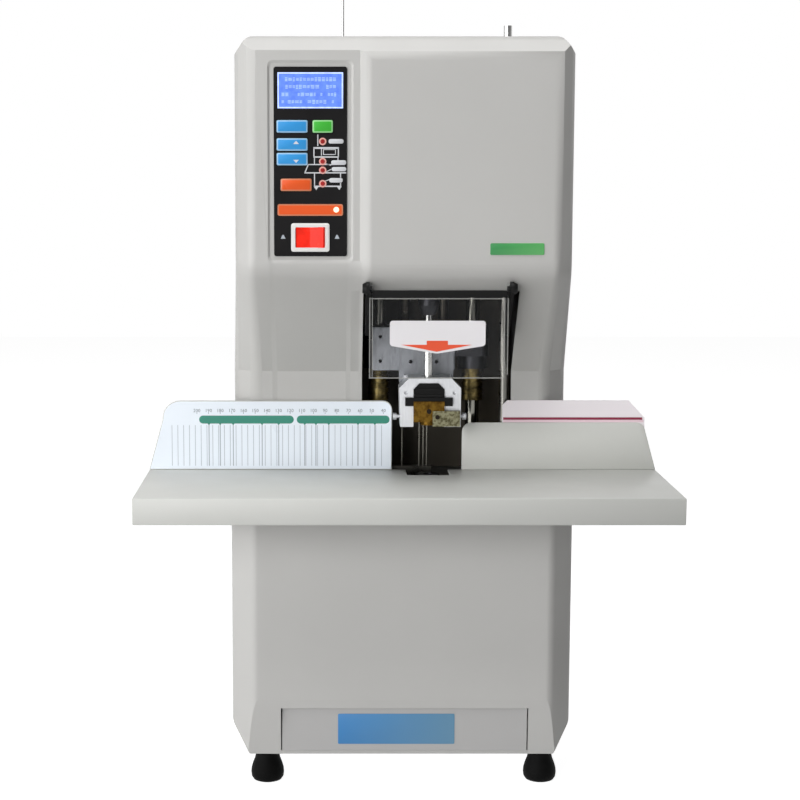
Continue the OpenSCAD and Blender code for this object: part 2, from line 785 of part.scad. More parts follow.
module pivot_screws() {
    reach = shield_t + bracket_gap + bracket_t;
    color("silver") for (side = [-1, 1]) {
        x = side < 0 ? shield_x0 - reach : shield_x1 + reach;
        rod_x(min(x, x - side * (reach - 0.2)), max(x, x - side * (reach - 0.2)),
              [pivot_y, pivot_z], pin_r);
        translate([x, pivot_y, pivot_z]) rotate([0, side * 90, 0])
            cylinder(r1 = cap_r, r2 = cap_r - 1.5, h = 3);
    }
}

// ---- press ----

module column_bores(z0, z1, r) {
    for (x = column_x) rod_z([x, column_cy], r, z0, z1);
}

module crosshead() {
    z0 = cross_z;
    z1 = cross_z + cross_h;
    mid = cross_z + (cross_h - cross_t) / 2;
    color([0.15, 0.15, 0.16]) difference() {
        union() {
            translate([0, 0, mid]) linear_extrude(cross_t)
                round_rect([axis_x - cross_half, cross_y0], [axis_x + cross_half, cross_y1], 8);
            column_bores(z0, z1, bush_r + 4);
            rod_z([press_screw_x, screw_cy], screw_r + 6, z0, z1);
            block([axis_x - 30, cross_y0, z0], [axis_x + 12, cross_y0 + 6, z1]);
        }
        column_bores(z0 - 9, z1 + 9, bush_r + fit / 2);
        rod_z([press_screw_x, screw_cy], screw_r + fit, z0 - 9, z1 + 9);
    }
}

module press_plate() {
    color("silver") difference() {
        union() {
            along_y(cross_y0 - face_plate_t, cross_y0)
                round_rect([axis_x - 47, cross_z], [axis_x + 24, cross_z + cross_h], 1.5);
            along_y(foot_back, cross_y0 - face_plate_t + nib)
                round_rect([axis_x - 24, foot_z + 33], [axis_x + 22.5, foot_z + 66], 1.5);
        }
        for (x = [-40, -14, 8], z = [8, 29])
            rod_y(cross_y0 - 99, cross_y0 + 9, [axis_x + x, cross_z + z], 1.6);
    }
}

module grooved_bush(z0, z1, r, grooves) {
    step = (z1 - z0) / (grooves + 1);
    difference() {
        cylinder(r = r, h = z1 - z0);
        for (i = [1:grooves]) translate([0, 0, i * step - 1]) difference() {
            cylinder(r = r + 9, h = 2);
            translate([0, 0, -1]) cylinder(r = r - 1, h = 4);
        }
        translate([0, 0, -9]) cylinder(r = column_r + fit, h = z1 - z0 + 19);
    }
}

// Bronze bushes that run on the guide columns, with a collar under the crosshead.
module press_bushes() {
    color("goldenrod") for (x = column_x) translate([x, column_cy, 0]) {
        translate([0, 0, cross_z - bush_drop])
            grooved_bush(cross_z - bush_drop, cross_z, bush_r, 4);
        translate([0, 0, cross_z]) difference() {
            cylinder(r = bush_r, h = 24);
            translate([0, 0, -9]) cylinder(r = column_r + fit, h = 44);
        }
    }
}

// Aluminium yoke that holds the papers down round the drill.
module press_foot() {
    z = foot_z;
    color("gainsboro") difference() {
        union() {
            along_y(foot_y0, foot_y1) difference() {
                polygon([[axis_x + foot_w[0] + 1, z], [axis_x + foot_w[0], z + 33],
                    [axis_x + foot_w[0] + 8, z + 41], [axis_x + foot_w[1] - 8, z + 41],
                    [axis_x + foot_w[1], z + 33], [axis_x + foot_w[1], z]]);
                polygon([[axis_x - 13, z - 9], [axis_x - 13, z + 32], [axis_x - 8, z + arch_h],
                    [axis_x + 8, z + arch_h], [axis_x + 13, z + 32], [axis_x + 13, z - 9]]);
            }
            block([axis_x - 20, foot_y1 - nib, z + 33], [axis_x + 20, foot_back, z + 41]);
            for (side = [0, 1]) {
                edge = axis_x + foot_w[side];
                out = edge + (2 * side - 1) * foot_pin;
                rod_x(min(edge, out) - 1, max(edge, out) + 1, [axis_y - 4, z + 8], 1.5);
                rod_x(out - 1.5, out + 1.5, [axis_y - 4, z + 8], 3);
            }
        }
        for (x = [-19.5, 21.5]) rod_y(foot_y0 - 9, foot_y0 + 3, [axis_x + x, z + 29], 1.5);
        rod_z([axis_x, axis_y], bit_d / 2 + clear, z - 9, z + 99);
    }
}

module foot_insert() {
    z1 = foot_z + 32;
    color([0.08, 0.08, 0.09]) difference() {
        union() {
            along_y(foot_y0 - 1.5, foot_y1 - 2) polygon([
                [axis_x - 13, insert_z], [axis_x - 13, z1], [axis_x - 8, foot_z + arch_h],
                [axis_x + 8, foot_z + arch_h], [axis_x + 13, z1], [axis_x + 13, insert_z]]);
            block([axis_x - 20, foot_y0 - 3, insert_z - 4], [axis_x + 20, foot_y0, insert_z + 3]);
            for (z = [insert_z + 4, insert_z + 9])
                block([axis_x - 12, foot_y0 - 2.5, z], [axis_x + 12, foot_y0, z + 2]);
        }
        block([axis_x - 13, foot_y0 - 9, insert_z - 9], [axis_x + 13, foot_y1, insert_z]);
        rod_z([axis_x, axis_y], bit_d / 2 + clear, insert_z - 9, z1 + 19);
    }
}

// Heated brass block; the drill and the tube pass through its bore.
module rivet_head() {
    z0 = head_block_z;
    color("darkgoldenrod") difference() {
        union() {
            block([axis_x - head_block_w / 2, foot_y0 - 4, z0],
                  [axis_x + head_block_w / 2, foot_y1 - 2, z0 + head_block_h]);
            rod_z([axis_x, axis_y], 7, foot_z + 0.5, z0 + 1);
        }
        rod_z([axis_x, axis_y], bit_d / 2 + clear, z0 - 9, z0 + 99);
        rod_y(foot_y0 - 9, foot_y0 + 2, [axis_x, z0 + 9], 2);
        for (x = [-9, 9]) rod_y(foot_y0 + 2, foot_y1 + 9, [axis_x + x, z0 + 9], 2.5);
    }
}

module heaters() {
    color("lightsteelblue") for (x = [-9, 9])
        rod_y(foot_y0 + 2, foot_y1 + 2, [axis_x + x, head_block_z + 9], 2.5);
}

// Small steel plate screwed to the front of the rivet head and the right leg.
module foot_bracket() {
    y = foot_y0 - 4;
    color("tan") difference() {
        union() {
            block([axis_x + 3, y - 1.5, foot_z + 1], [axis_x + 26, y, foot_z + 14]);
            block([axis_x + 14, y - nib, foot_z + 1], [axis_x + 26, foot_y0, foot_z + 14]);
        }
        rod_y(y - 9, y + 9, [axis_x + 7, foot_z + 9], 1.8);
    }
}

// ---- drill ----

module drill_carriage() {
    z0 = carriage_z;
    z1 = carriage_z + carriage_t;
    color("slategray") difference() {
        union() {
            translate([0, 0, z0]) linear_extrude(carriage_t) polygon([
                [axis_x - cross_half, cross_y0], [axis_x - 24, axis_y - 10],
                [axis_x - 10, axis_y - 24], [axis_x + 10, axis_y - 24],
                [axis_x + 24, axis_y - 10], [axis_x + cross_half, cross_y0],
                [axis_x + cross_half, cross_y1], [axis_x - cross_half, cross_y1]]);
            column_bores(z0 - 2, z1 + 8, bush_r + 4);
            rod_z([lift_screw_x, screw_cy], screw_r + 6, z0, z1 + 14);
        }
        column_bores(z0 - 9, z1 + 19, bush_r + fit / 2);
        rod_z([lift_screw_x, screw_cy], screw_r + fit, z0 - 9, z1 + 29);
        rod_z([press_screw_x, screw_cy], screw_r + 1.5, z0 - 9, z1 + 9);
        rod_z([axis_x, axis_y], spindle_r + 1, z0 - 9, z1 + 9);
    }
}

module drill_bushes() {
    z0 = carriage_z - 2;
    color("goldenrod") for (x = column_x) translate([x, column_cy, z0]) difference() {
        cylinder(r = bush_r, h = carriage_t + 12);
        translate([0, 0, -9]) cylinder(r = column_r + fit, h = carriage_t + 44);
    }
}

module drill_motor() {
    z0 = carriage_z + carriage_t;
    color("darkslategray") difference() {
        union() {
            rod_z([axis_x, axis_y], drill_motor_r, z0, z0 + drill_motor_h - 6);
            rod_z([axis_x, axis_y], drill_motor_r - 4, z0, z0 + drill_motor_h);
        }
        rod_z([axis_x, axis_y], spindle_r + fit, z0 - 9, z0 + 24);
    }
}

module drill_chuck() {
    z1 = chuck_z + chuck_h;
    color("silver") difference() {
        union() {
            rod_z([axis_x, axis_y], chuck_r, chuck_z + 8, z1);
            translate([axis_x, axis_y, chuck_z]) cylinder(r1 = 6, r2 = chuck_r, h = 8);
            rod_z([axis_x, axis_y], spindle_r, z1 - 1, carriage_z + carriage_t + 23);
        }
        rod_z([axis_x, axis_y], bit_d / 2, chuck_z - 9, chuck_z + 20);
    }
}

module drill_bit() {
    r = bit_d / 2;
    color("lightgray") translate([axis_x, axis_y, 0]) rotate_extrude() polygon([
        [bit_bore / 2, tip_z], [bit_bore / 2 + 0.4, tip_z], [r, tip_z + 4],
        [r, chuck_z + 20], [bit_bore / 2, chuck_z + 20]]);
}

// ---- lifting screws and motors ----

module lead_screw(x, z0) {
    rod_z([x, screw_cy], screw_r, z0, bridge_z);
    rod_z([x, screw_cy], journal_r, bridge_z - 1, bridge_z + bridge_t + 20);
}

module press_screw() {
    color("silver") lead_screw(press_screw_x, cross_z - press_travel - 4);
}

module lift_screw() {
    color("silver") lead_screw(lift_screw_x, cross_z + cross_h + 3);
}

module gear_motor(x) {
    z0 = bridge_z + bridge_t;
    difference() {
        union() {
            rod_z([x, screw_cy], 15.5, z0 + 10, z0 + motor_h);
            translate([0, 0, z0]) linear_extrude(10)
                round_rect([x - 16, screw_cy - 18], [x + 16, screw_cy + 18], 3);
        }
        rod_z([x, screw_cy], journal_r + fit, z0 - 9, z0 + 21);
    }
}

module gear_motors() {
    color("darkslategray") for (x = [press_screw_x, lift_screw_x]) gear_motor(x);
}

// ---- tube feed ----

module tube_inlet() {
    color("silver") difference() {
        union() {
            rod_z([tube_x, tube_y], tube_bore / 2 + 0.8, case_top - 14, case_top + inlet_h);
            rod_z([tube_x, tube_y], guide_d / 2, case_top - 14, case_top);
            rod_z([tube_x, tube_y], guide_d / 2 + 2.5, case_top, case_top + 2);
        }
        rod_z([tube_x, tube_y], tube_bore / 2, case_top - 19, case_top + inlet_h + 9);
    }
}

// Pipe that leads the rivet tube from the feed rollers to the bed.
module tube_guide() {
    color("silver") difference() {
        rod_z([tube_x, tube_y], guide_d / 2, bed_z - column_seat, bridge_z + bridge_t + 2);
        rod_z([tube_x, tube_y], tube_bore / 2, bed_z - column_seat - 9, bridge_z + bridge_t + 9);
    }
}

// Rubber roller with a groove for the tube round its middle.
module roller(x) {
    translate([x, tube_y - 5, roller_z]) rotate([-90, 0, 0]) rotate_extrude() polygon(concat(
        [[0, 0], [roller_r, 0]],
        [for (i = [0:6]) let (a = 180 * i / 6) [roller_r - 1.6 * sin(a), 5 - 2.5 * cos(a)]],
        [[roller_r, 10], [0, 10]]));
}

module feed_roller() {
    x = tube_x - roller_gap - roller_r;
    color("dimgray") {
        roller(x);
        rod_y(tube_y + 4, tube_y + 26, [x, roller_z], 2);
    }
}

module pinch_roller() {
    x = tube_x + roller_gap + roller_r;
    color("dimgray") {
        roller(x);
        rod_y(tube_y + 4, tube_y + 14, [x, roller_z], 2);
    }
}

module feed_motor() {
    x = tube_x - roller_gap - roller_r;
    color("darkslategray") difference() {
        rod_y(tube_y + 14, tube_y + 44, [x, roller_z], 13);
        rod_y(tube_y + 9, tube_y + 27, [x, roller_z], 2 + fit);
    }
}

// Slim steel rod in a black grommet on top of the head.
module slim_rod() {
    color("silver") rod_z([slim_x, tube_y], 1, case_top - shell_t - 4, case_top + rod_h);
    color("black") difference() {
        rod_z([slim_x, tube_y], 3, case_top - shell_t - 3, case_top);
        rod_z([slim_x, tube_y], 1, case_top - 19, case_top + 9);
    }
    color("black") difference() {
        translate([slim_x, tube_y, case_top]) cylinder(r1 = 4.5, r2 = 2.5, h = 3);
        rod_z([slim_x, tube_y], 1, case_top - 19, case_top + 9);
    }
}

// ---- electrics ----

module power_supply() {
    x0 = case_x0 + low_cut[0] + 8;
    x1 = bed_x0 - plate_t - 6;
    y0 = tray_y + tray_l + 2;
    y1 = back_y - 38;
    fins = floor((x1 - x0 - 6) / 9);
    color("silver") {
        block([x0, y0, base_z], [x1, y1, base_z + 38]);
        for (i = [0:fins - 1]) block([x0 + 4 + i * 9, y0 + 6, base_z + 38],
                                     [x0 + 7 + i * 9, y1 - 6, base_z + 42]);
    }
}

// Socket for a mains lead in the rear cover.
module power_inlet() {
    c = inlet_pos;
    s = inlet_size / 2;
    color([0.08, 0.08, 0.08]) difference() {
        union() {
            along_y(back_y, back_y + inlet_flange)
                round_rect(c - s - [10, 4], c + s + [10, 4], 4);
            along_y(back_y - 22, back_y + nib)
                round_rect(c - s + [clear, clear], c + s - [clear, clear], 2);
        }
        along_y(back_y - 15, back_y + 9) polygon([
            [c[0] - 12, c[1] - 8], [c[0] + 12, c[1] - 8], [c[0] + 12, c[1] + 4],
            [c[0] + 8, c[1] + 8], [c[0] - 8, c[1] + 8], [c[0] - 12, c[1] + 4]]);
    }
    color("silver") for (p = [[-7, -2], [0, 2], [7, -2]])
        block([c[0] + p[0] - 1, back_y - 15, c[1] + p[1] - 2],
              [c[0] + p[0] + 1, back_y - 3, c[1] + p[1] + 2]);
}

// ---- drawer ----

module drawer_rails() {
    half = tray_w / 2 + 0.5;
    color("silver") for (side = [-1, 1]) {
        x0 = side < 0 ? drawer_x - half - 2 : drawer_x + half;
        block([x0, tray_y + 3, base_z], [x0 + 2, tray_y + tray_l - 2, base_z + 22]);
    }
}

module drawer_tray() {
    x0 = drawer_x - tray_w / 2;
    x1 = drawer_x + tray_w / 2;
    color("silver") difference() {
        block([x0, tray_y, drawer_z0], [x1, tray_y + tray_l, drawer_z0 + tray_h]);
        block([x0 + 1.2, tray_y + 1.2, drawer_z0 + 1.2],
              [x1 - 1.2, tray_y + tray_l - 1.2, drawer_z0 + tray_h + 9]);
    }
}

module drawer_front() {
    x0 = drawer_x - drawer_w / 2;
    x1 = drawer_x + drawer_w / 2;
    color("gainsboro") block([x0, drawer_y, drawer_z0],
                             [x1, drawer_y + shell_t, drawer_z0 + drawer_h]);
}

// ---- screws ----

module pan_head(r) {
    rotate_extrude($fn = 24) polygon([[0, 0], [r, 0], [r, 0.8], [r * 0.7, 1.8], [0, 2]]);
}

module case_screws() {
    color("silver") {
        for (p = case_screw_pos) translate([p[0], back_y, p[1]]) rotate([-90, 0, 0]) pan_head(4);
        for (p = foot_pos) translate([p[0], p[1], base_z]) pan_head(6);
    }
}

base_plate();
rubber_feet();
frame_plates();
bed_plate();
top_bridge();
guide_columns();
cavity_liner();
front_cover();
lower_cover();
rear_cover();
case_screws();
work_table();
left_fence();
right_fence();
ruler_plate();
limit_plate();
rear_stop();
anvil();
chip_chute();
control_panel();
display();
power_switch();
power_rocker();
panel_board();
shield_brackets();
pivot_screws();
gear_motors();
tube_inlet();
tube_guide();
feed_motor();
slim_rod();
power_supply();
power_inlet();
drawer_rails();
crosshead();
press_plate();
press_bushes();
press_foot();
foot_insert();
rivet_head();
heaters();
foot_bracket();
drill_carriage();
drill_bushes();
drill_motor();
drill_chuck();
drill_bit();
press_screw();
lift_screw();
feed_roller();
pinch_roller();
shield();
shield_bar();
drawer_tray();
drawer_front();
start_key();
green_key();
up_key();
down_key();
orange_key();
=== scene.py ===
import json
import math
import random

import bmesh
import bpy
from mathutils import Matrix, Vector


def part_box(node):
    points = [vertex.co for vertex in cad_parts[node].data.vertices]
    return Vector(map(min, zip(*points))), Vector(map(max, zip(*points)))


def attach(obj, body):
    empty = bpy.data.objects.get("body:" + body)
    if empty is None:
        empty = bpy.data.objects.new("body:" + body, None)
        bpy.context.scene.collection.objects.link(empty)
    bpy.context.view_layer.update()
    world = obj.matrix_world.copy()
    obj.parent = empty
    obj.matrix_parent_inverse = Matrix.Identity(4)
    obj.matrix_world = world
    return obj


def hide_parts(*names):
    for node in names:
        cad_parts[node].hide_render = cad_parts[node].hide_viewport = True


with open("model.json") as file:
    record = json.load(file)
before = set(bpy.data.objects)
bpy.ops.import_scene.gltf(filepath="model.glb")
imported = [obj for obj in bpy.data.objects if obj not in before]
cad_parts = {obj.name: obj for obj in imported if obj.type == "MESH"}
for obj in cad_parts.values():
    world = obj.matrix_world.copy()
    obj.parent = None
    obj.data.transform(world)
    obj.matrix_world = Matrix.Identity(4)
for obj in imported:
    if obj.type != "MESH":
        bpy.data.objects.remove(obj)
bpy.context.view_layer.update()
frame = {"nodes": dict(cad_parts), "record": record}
nodes = frame["nodes"]
scene = bpy.context.scene
mm = 0.001


def vec(x, y, z):
    return Vector((x, y, z)) * mm


# camera, floor and light

cameraLook = {"place": (-62.3, -1544, 514), "pitch": 82.65, "lens": 79.4, "shift": 0.0875,
              "sensor": 36, "reach": 30}

cameraData = bpy.data.cameras.new("camera")
cameraData.sensor_width = cameraLook["sensor"]
cameraData.lens = cameraLook["lens"]
cameraData.shift_x = cameraLook["shift"]
cameraData.clip_end = cameraLook["reach"]
camera = bpy.data.objects.new("camera", cameraData)
camera.location = vec(*cameraLook["place"])
camera.rotation_euler = (math.radians(cameraLook["pitch"]), 0, 0)
scene.collection.objects.link(camera)
scene.camera = camera
scene.view_settings.view_transform = "Standard"

lampLook = {
    "left": {"place": (-2.4, -0.95, 0.35), "size": 1.2, "power": 29, "aim": (0, 0, 0.35)},
    "front": {"place": (-1.45, -2.35, 0.75), "size": 1.8, "power": 49, "aim": (0, 0, 0.3)},
    "top": {"place": (0, -0.6, 2.4), "size": 1.4, "power": 34, "aim": (0, 0, 0.35)},
}
skyLook = {"fill": 0.06, "frontSide": 0.25, "turn": 0.3}
floorLook = {"half": 4, "bounce": 0.45, "shade": 0.5, "glow": 0.93}


def addLamp(name, look):
    data = bpy.data.lights.new(name, "AREA")
    data.size = look["size"]
    data.energy = look["power"]
    lamp = bpy.data.objects.new(name, data)
    lamp.location = look["place"]
    aim = Vector(look["aim"]) - Vector(look["place"])
    lamp.rotation_euler = aim.to_track_quat("-Z", "Y").to_euler()
    scene.collection.objects.link(lamp)


for lampName, look in lampLook.items():
    addLamp(lampName + "Lamp", look)


def link(tree, source, target):
    tree.links.new(source, target)


def larger(tree, first, second):
    node = tree.nodes.new("ShaderNodeMath")
    node.operation = "MAXIMUM"
    link(tree, first, node.inputs[0])
    link(tree, second, node.inputs[1])
    return node.outputs[0]


def spread(tree, value, low, high, start=0.3, end=0.7):
    node = tree.nodes.new("ShaderNodeMapRange")
    node.inputs["From Min"].default_value = start
    node.inputs["From Max"].default_value = end
    node.inputs["To Min"].default_value = low
    node.inputs["To Max"].default_value = high
    link(tree, value, node.inputs["Value"])
    return node.outputs[0]


def seenRays(tree):
    # the camera, and what mirrors or passes its view
    path = tree.nodes.new("ShaderNodeLightPath").outputs
    mirrored = larger(tree, path["Is Glossy Ray"], path["Is Transmission Ray"])
    return larger(tree, path["Is Camera Ray"], mirrored)


def paintSky():
    world = bpy.data.worlds.new("sky")
    scene.world = world
    world.use_nodes = True
    tree = world.node_tree
    tree.nodes.clear()
    fill = tree.nodes.new("ShaderNodeBackground")
    fill.inputs["Strength"].default_value = skyLook["fill"]
    # white behind the object, dim on the viewer's side, as chrome mirrors it
    way = tree.nodes.new("ShaderNodeSeparateXYZ")
    link(tree, tree.nodes.new("ShaderNodeTexCoord").outputs["Generated"], way.inputs[0])
    turn = skyLook["turn"]
    sideways = spread(tree, way.outputs["Y"], skyLook["frontSide"], 1.0, -turn, turn)
    direct = tree.nodes.new("ShaderNodeLightPath").outputs["Is Camera Ray"]
    backdrop = tree.nodes.new("ShaderNodeBackground")
    backdrop.inputs["Color"].default_value = (1, 1, 1, 1)
    link(tree, larger(tree, sideways, direct), backdrop.inputs["Strength"])
    blend = tree.nodes.new("ShaderNodeMixShader")
    out = tree.nodes.new("ShaderNodeOutputWorld")
    link(tree, seenRays(tree), blend.inputs[0])
    link(tree, fill.outputs[0], blend.inputs[1])
    link(tree, backdrop.outputs[0], blend.inputs[2])
    link(tree, blend.outputs[0], out.inputs[0])


def grey(level):
    return (level, level, level, 1)


def layFloor():
    bm = bmesh.new()
    bmesh.ops.create_grid(bm, x_segments=1, y_segments=1, size=floorLook["half"])
    mesh = bpy.data.meshes.new("floor")
    bm.to_mesh(mesh)
    bm.free()
    floor = bpy.data.objects.new("floor", mesh)
    scene.collection.objects.link(floor)
    material = bpy.data.materials.new("paleFloor")
    material.use_nodes = True
    tree = material.node_tree
    tree.nodes.clear()
    out = tree.nodes.new("ShaderNodeOutputMaterial")
    # dull for the light that reaches the object, glowing with a shadow for the eye
    plain = tree.nodes.new("ShaderNodeBsdfDiffuse")
    plain.inputs["Color"].default_value = grey(floorLook["bounce"])
    shown = tree.nodes.new("ShaderNodeBsdfDiffuse")
    shown.inputs["Color"].default_value = grey(floorLook["shade"])
    glow = tree.nodes.new("ShaderNodeEmission")
    glow.inputs["Color"].default_value = grey(floorLook["glow"])
    both = tree.nodes.new("ShaderNodeAddShader")
    blend = tree.nodes.new("ShaderNodeMixShader")
    link(tree, shown.outputs[0], both.inputs[0])
    link(tree, glow.outputs[0], both.inputs[1])
    link(tree, seenRays(tree), blend.inputs[0])
    link(tree, plain.outputs[0], blend.inputs[1])
    link(tree, both.outputs[0], blend.inputs[2])
    link(tree, blend.outputs[0], out.inputs[0])
    mesh.materials.append(material)


paintSky()
layFloor()
print("stage and camera set")


# finishes

def startFinish(name):
    material = bpy.data.materials.new(name)
    material.use_nodes = True
    tree = material.node_tree
    shader = tree.nodes["Principled BSDF"]
    place = tree.nodes.new("ShaderNodeTexCoord").outputs["Object"]
    return material, tree, shader, place


def noise(tree, place, scale, detail=3.0, stretch=None):
    if stretch:
        mapping = tree.nodes.new("ShaderNodeMapping")
        mapping.inputs["Scale"].default_value = stretch
        link(tree, place, mapping.inputs["Vector"])
        place = mapping.outputs[0]
    node = tree.nodes.new("ShaderNodeTexNoise")
    node.inputs["Scale"].default_value = scale
    node.inputs["Detail"].default_value = detail
    link(tree, place, node.inputs["Vector"])
    return node.outputs["Fac"]


def twoTone(tree, value, first, second, start=0.35, end=0.65):
    ramp = tree.nodes.new("ShaderNodeValToRGB")
    ramp.color_ramp.elements[0].position = start
    ramp.color_ramp.elements[0].color = (*first, 1)
    ramp.color_ramp.elements[1].position = end
    ramp.color_ramp.elements[1].color = (*second, 1)
    link(tree, value, ramp.inputs[0])
    return ramp.outputs[0]


def relief(tree, shader, height, strength, distance):
    bump = tree.nodes.new("ShaderNodeBump")
    bump.inputs["Strength"].default_value = strength
    bump.inputs["Distance"].default_value = distance
    link(tree, height, bump.inputs["Height"])
    link(tree, bump.outputs[0], shader.inputs["Normal"])


def scaled(colour, factor):
    return tuple(min(1.0, c * factor) for c in colour)


def coatedFinish(name, colour, rough=0.45, grain=900, depth=0.00008, drift=0.05, coat=0.0,
                 shine=0.5):
    material, tree, shader, place = startFinish(name)
    broad = noise(tree, place, 7, 4)
    tint = twoTone(tree, broad, scaled(colour, 1 - drift), scaled(colour, 1 + drift))
    link(tree, tint, shader.inputs["Base Color"])
    fine = noise(tree, place, grain, 2)
    sheen = spread(tree, noise(tree, place, 24, 5), rough - 0.05, rough + 0.08)
    link(tree, sheen, shader.inputs["Roughness"])
    relief(tree, shader, fine, 0.35, depth)
    shader.inputs["Coat Weight"].default_value = coat
    shader.inputs["Coat Roughness"].default_value = 0.15
    shader.inputs["Specular IOR Level"].default_value = shine
    return material


def metalFinish(name, colour, rough=0.28, stretch=(40, 40, 900), drift=0.1, depth=0.00002):
    material, tree, shader, place = startFinish(name)
    lines = noise(tree, place, 1.0, 3, stretch)
    patches = noise(tree, place, 30, 4)
    tint = twoTone(tree, patches, scaled(colour, 1 - drift), scaled(colour, 1 + drift))
    link(tree, tint, shader.inputs["Base Color"])
    link(tree, spread(tree, lines, rough * 0.7, rough * 1.35), shader.inputs["Roughness"])
    relief(tree, shader, lines, 0.25, depth)
    shader.inputs["Metallic"].default_value = 1.0
    return material


def speckledFinish(name, colour, second, scale=160, rough=0.4):
    material, tree, shader, place = startFinish(name)
    spots = noise(tree, place, scale, 5)
    link(tree, twoTone(tree, spots, colour, second, 0.42, 0.62), shader.inputs["Base Color"])
    link(tree, spread(tree, spots, rough, rough + 0.25), shader.inputs["Roughness"])
    relief(tree, shader, spots, 0.3, 0.00004)
    shader.inputs["Metallic"].default_value = 1.0
    return material


def litFinish(name, colour, glow, strength, rough=0.25, cell=260):
    material, tree, shader, place = startFinish(name)
    tone = noise(tree, place, cell, 2)
    tint = twoTone(tree, tone, scaled(colour, 0.88), scaled(colour, 1.1))
    link(tree, tint, shader.inputs["Base Color"])
    shine = twoTone(tree, tone, scaled(glow, 0.88), scaled(glow, 1.08))
    link(tree, shine, shader.inputs["Emission Color"])
    shader.inputs["Emission Strength"].default_value = strength
    shader.inputs["Specular IOR Level"].default_value = 0.15
    link(tree, spread(tree, tone, rough, rough + 0.1), shader.inputs["Roughness"])
    return material


def clearFinish(name, colour, alpha, rough=0.06):
    material, tree, shader, place = startFinish(name)
    smear = noise(tree, place, 18, 5)
    tint = twoTone(tree, smear, scaled(colour, 0.94), colour)
    link(tree, tint, shader.inputs["Base Color"])
    link(tree, spread(tree, smear, rough * 0.6, rough * 2.2), shader.inputs["Roughness"])
    shader.inputs["Alpha"].default_value = alpha
    shader.inputs["IOR"].default_value = 1.49
    material.surface_render_method = "BLENDED"
    return material


def fadeFinish(name, first, second, span, rough=0.3):
    # one tone turns into the other from left to right
    material, tree, shader, place = startFinish(name)
    split = tree.nodes.new("ShaderNodeSeparateXYZ")
    link(tree, place, split.inputs[0])
    along = spread(tree, split.outputs["X"], 0, 1, span[0] * mm, span[1] * mm)
    ramp = twoTone(tree, along, first, second, 0.0, 1.0)
    link(tree, ramp, shader.inputs["Base Color"])
    sheen = spread(tree, noise(tree, place, 60, 3), rough, rough + 0.12)
    link(tree, sheen, shader.inputs["Roughness"])
    shader.inputs["Coat Weight"].default_value = 0.3
    return material


# one finish for each slot of the record

black = {"shine": 0.15}
finish = {
    "casing_grey": coatedFinish("casingGrey", (0.50, 0.495, 0.48), 0.42, 700, 0.00007, 0.02),
    "rear_grey": coatedFinish("rearGrey", (0.47, 0.47, 0.455), 0.5, 1100, 0.00012, 0.03),
    "table_grey": coatedFinish("tableGrey", (0.56, 0.565, 0.54), 0.4, 900, 0.00006, 0.02),
    "frame_steel": metalFinish("frameSteel", (0.30, 0.31, 0.32), 0.42, (60, 60, 500)),
    "bright_steel": metalFinish("brightSteel", (0.55, 0.55, 0.54), 0.24, (50, 50, 200), 0.04,
                                0.000004),
    "zinc_plate": speckledFinish("zincPlate", (0.25, 0.24, 0.15), (0.10, 0.09, 0.05), 420, 0.4),
    "black_steel": metalFinish("blackSteel", (0.045, 0.045, 0.05), 0.4, (80, 80, 300)),
    "black_sheet": coatedFinish("blackSheet", (0.006, 0.006, 0.006), 0.5, 800, 0.00006, 0.1,
                                **black),
    "chrome": metalFinish("chromePlate", (0.74, 0.74, 0.73), 0.09, (20, 20, 90), 0.02, 0.000003),
    "aluminium": metalFinish("milledAluminium", (0.66, 0.67, 0.69), 0.52, (500, 500, 120), 0.06),
    "grey_plate": metalFinish("greyPlate", (0.17, 0.175, 0.18), 0.4, (400, 400, 60), 0.08),
    "brass": speckledFinish("usedBrass", (0.17, 0.095, 0.016), (0.07, 0.035, 0.006), 190, 0.36),
    "bronze": speckledFinish("oiledBronze", (0.26, 0.20, 0.08), (0.09, 0.07, 0.03), 150, 0.3),
    "rubber": coatedFinish("blackRubber", (0.004, 0.004, 0.004), 0.6, 1200, 0.0001, 0.2,
                           shine=0.06),
    "motor_grey": coatedFinish("motorGrey", (0.04, 0.04, 0.045), 0.4, 900, 0.00006, 0.1),
    "roller_grey": coatedFinish("rollerRubber", (0.03, 0.03, 0.03), 0.6, 1500, 0.00012, 0.15),
    "scale_white": coatedFinish("scaleFoil", (0.82, 0.88, 0.95), 0.32, 500, 0.00003, 0.015),
    "plate_white": coatedFinish("limitPlate", (0.87, 0.82, 0.85), 0.32, 500, 0.00003, 0.015),
    "panel_black": coatedFinish("panelOverlay", (0.0055, 0.005, 0.0055), 0.34, 1600, 0.00003, 0.1,
                                **black),
    "black_plastic": coatedFinish("blackPlastic", (0.008, 0.008, 0.008), 0.45, 1000, 0.00006, 0.1,
                                  shine=0.12),
    "display_blue": litFinish("displayBlue", (0.10, 0.19, 0.85), (0.15, 0.29, 0.88), 0.42),
    "switch_white": coatedFinish("switchWhite", (0.80, 0.79, 0.77), 0.25, 800, 0.00002, 0.01,
                                 0.4),
    "rocker_red": litFinish("rockerRed", (0.75, 0.02, 0.01), (0.9, 0.03, 0.01), 0.25, 0.18, 120),
    "board_green": coatedFinish("boardGreen", (0.02, 0.13, 0.05), 0.3, 300, 0.0001, 0.2, 0.3),
    "clear_acrylic": clearFinish("clearAcrylic", (0.12, 0.125, 0.13), 0.06),
    "key_blue": coatedFinish("keyBlue", (0.045, 0.32, 0.72), 0.3, 900, 0.00003, 0.06, 0, 0.2),
    "key_green": coatedFinish("keyGreen", (0.06, 0.46, 0.05), 0.3, 900, 0.00003, 0.06, 0, 0.2),
    "key_orange": coatedFinish("keyOrange", (0.80, 0.11, 0.025), 0.3, 900, 0.00003, 0.06, 0, 0.2),
}

# finishes of the printed and added pieces

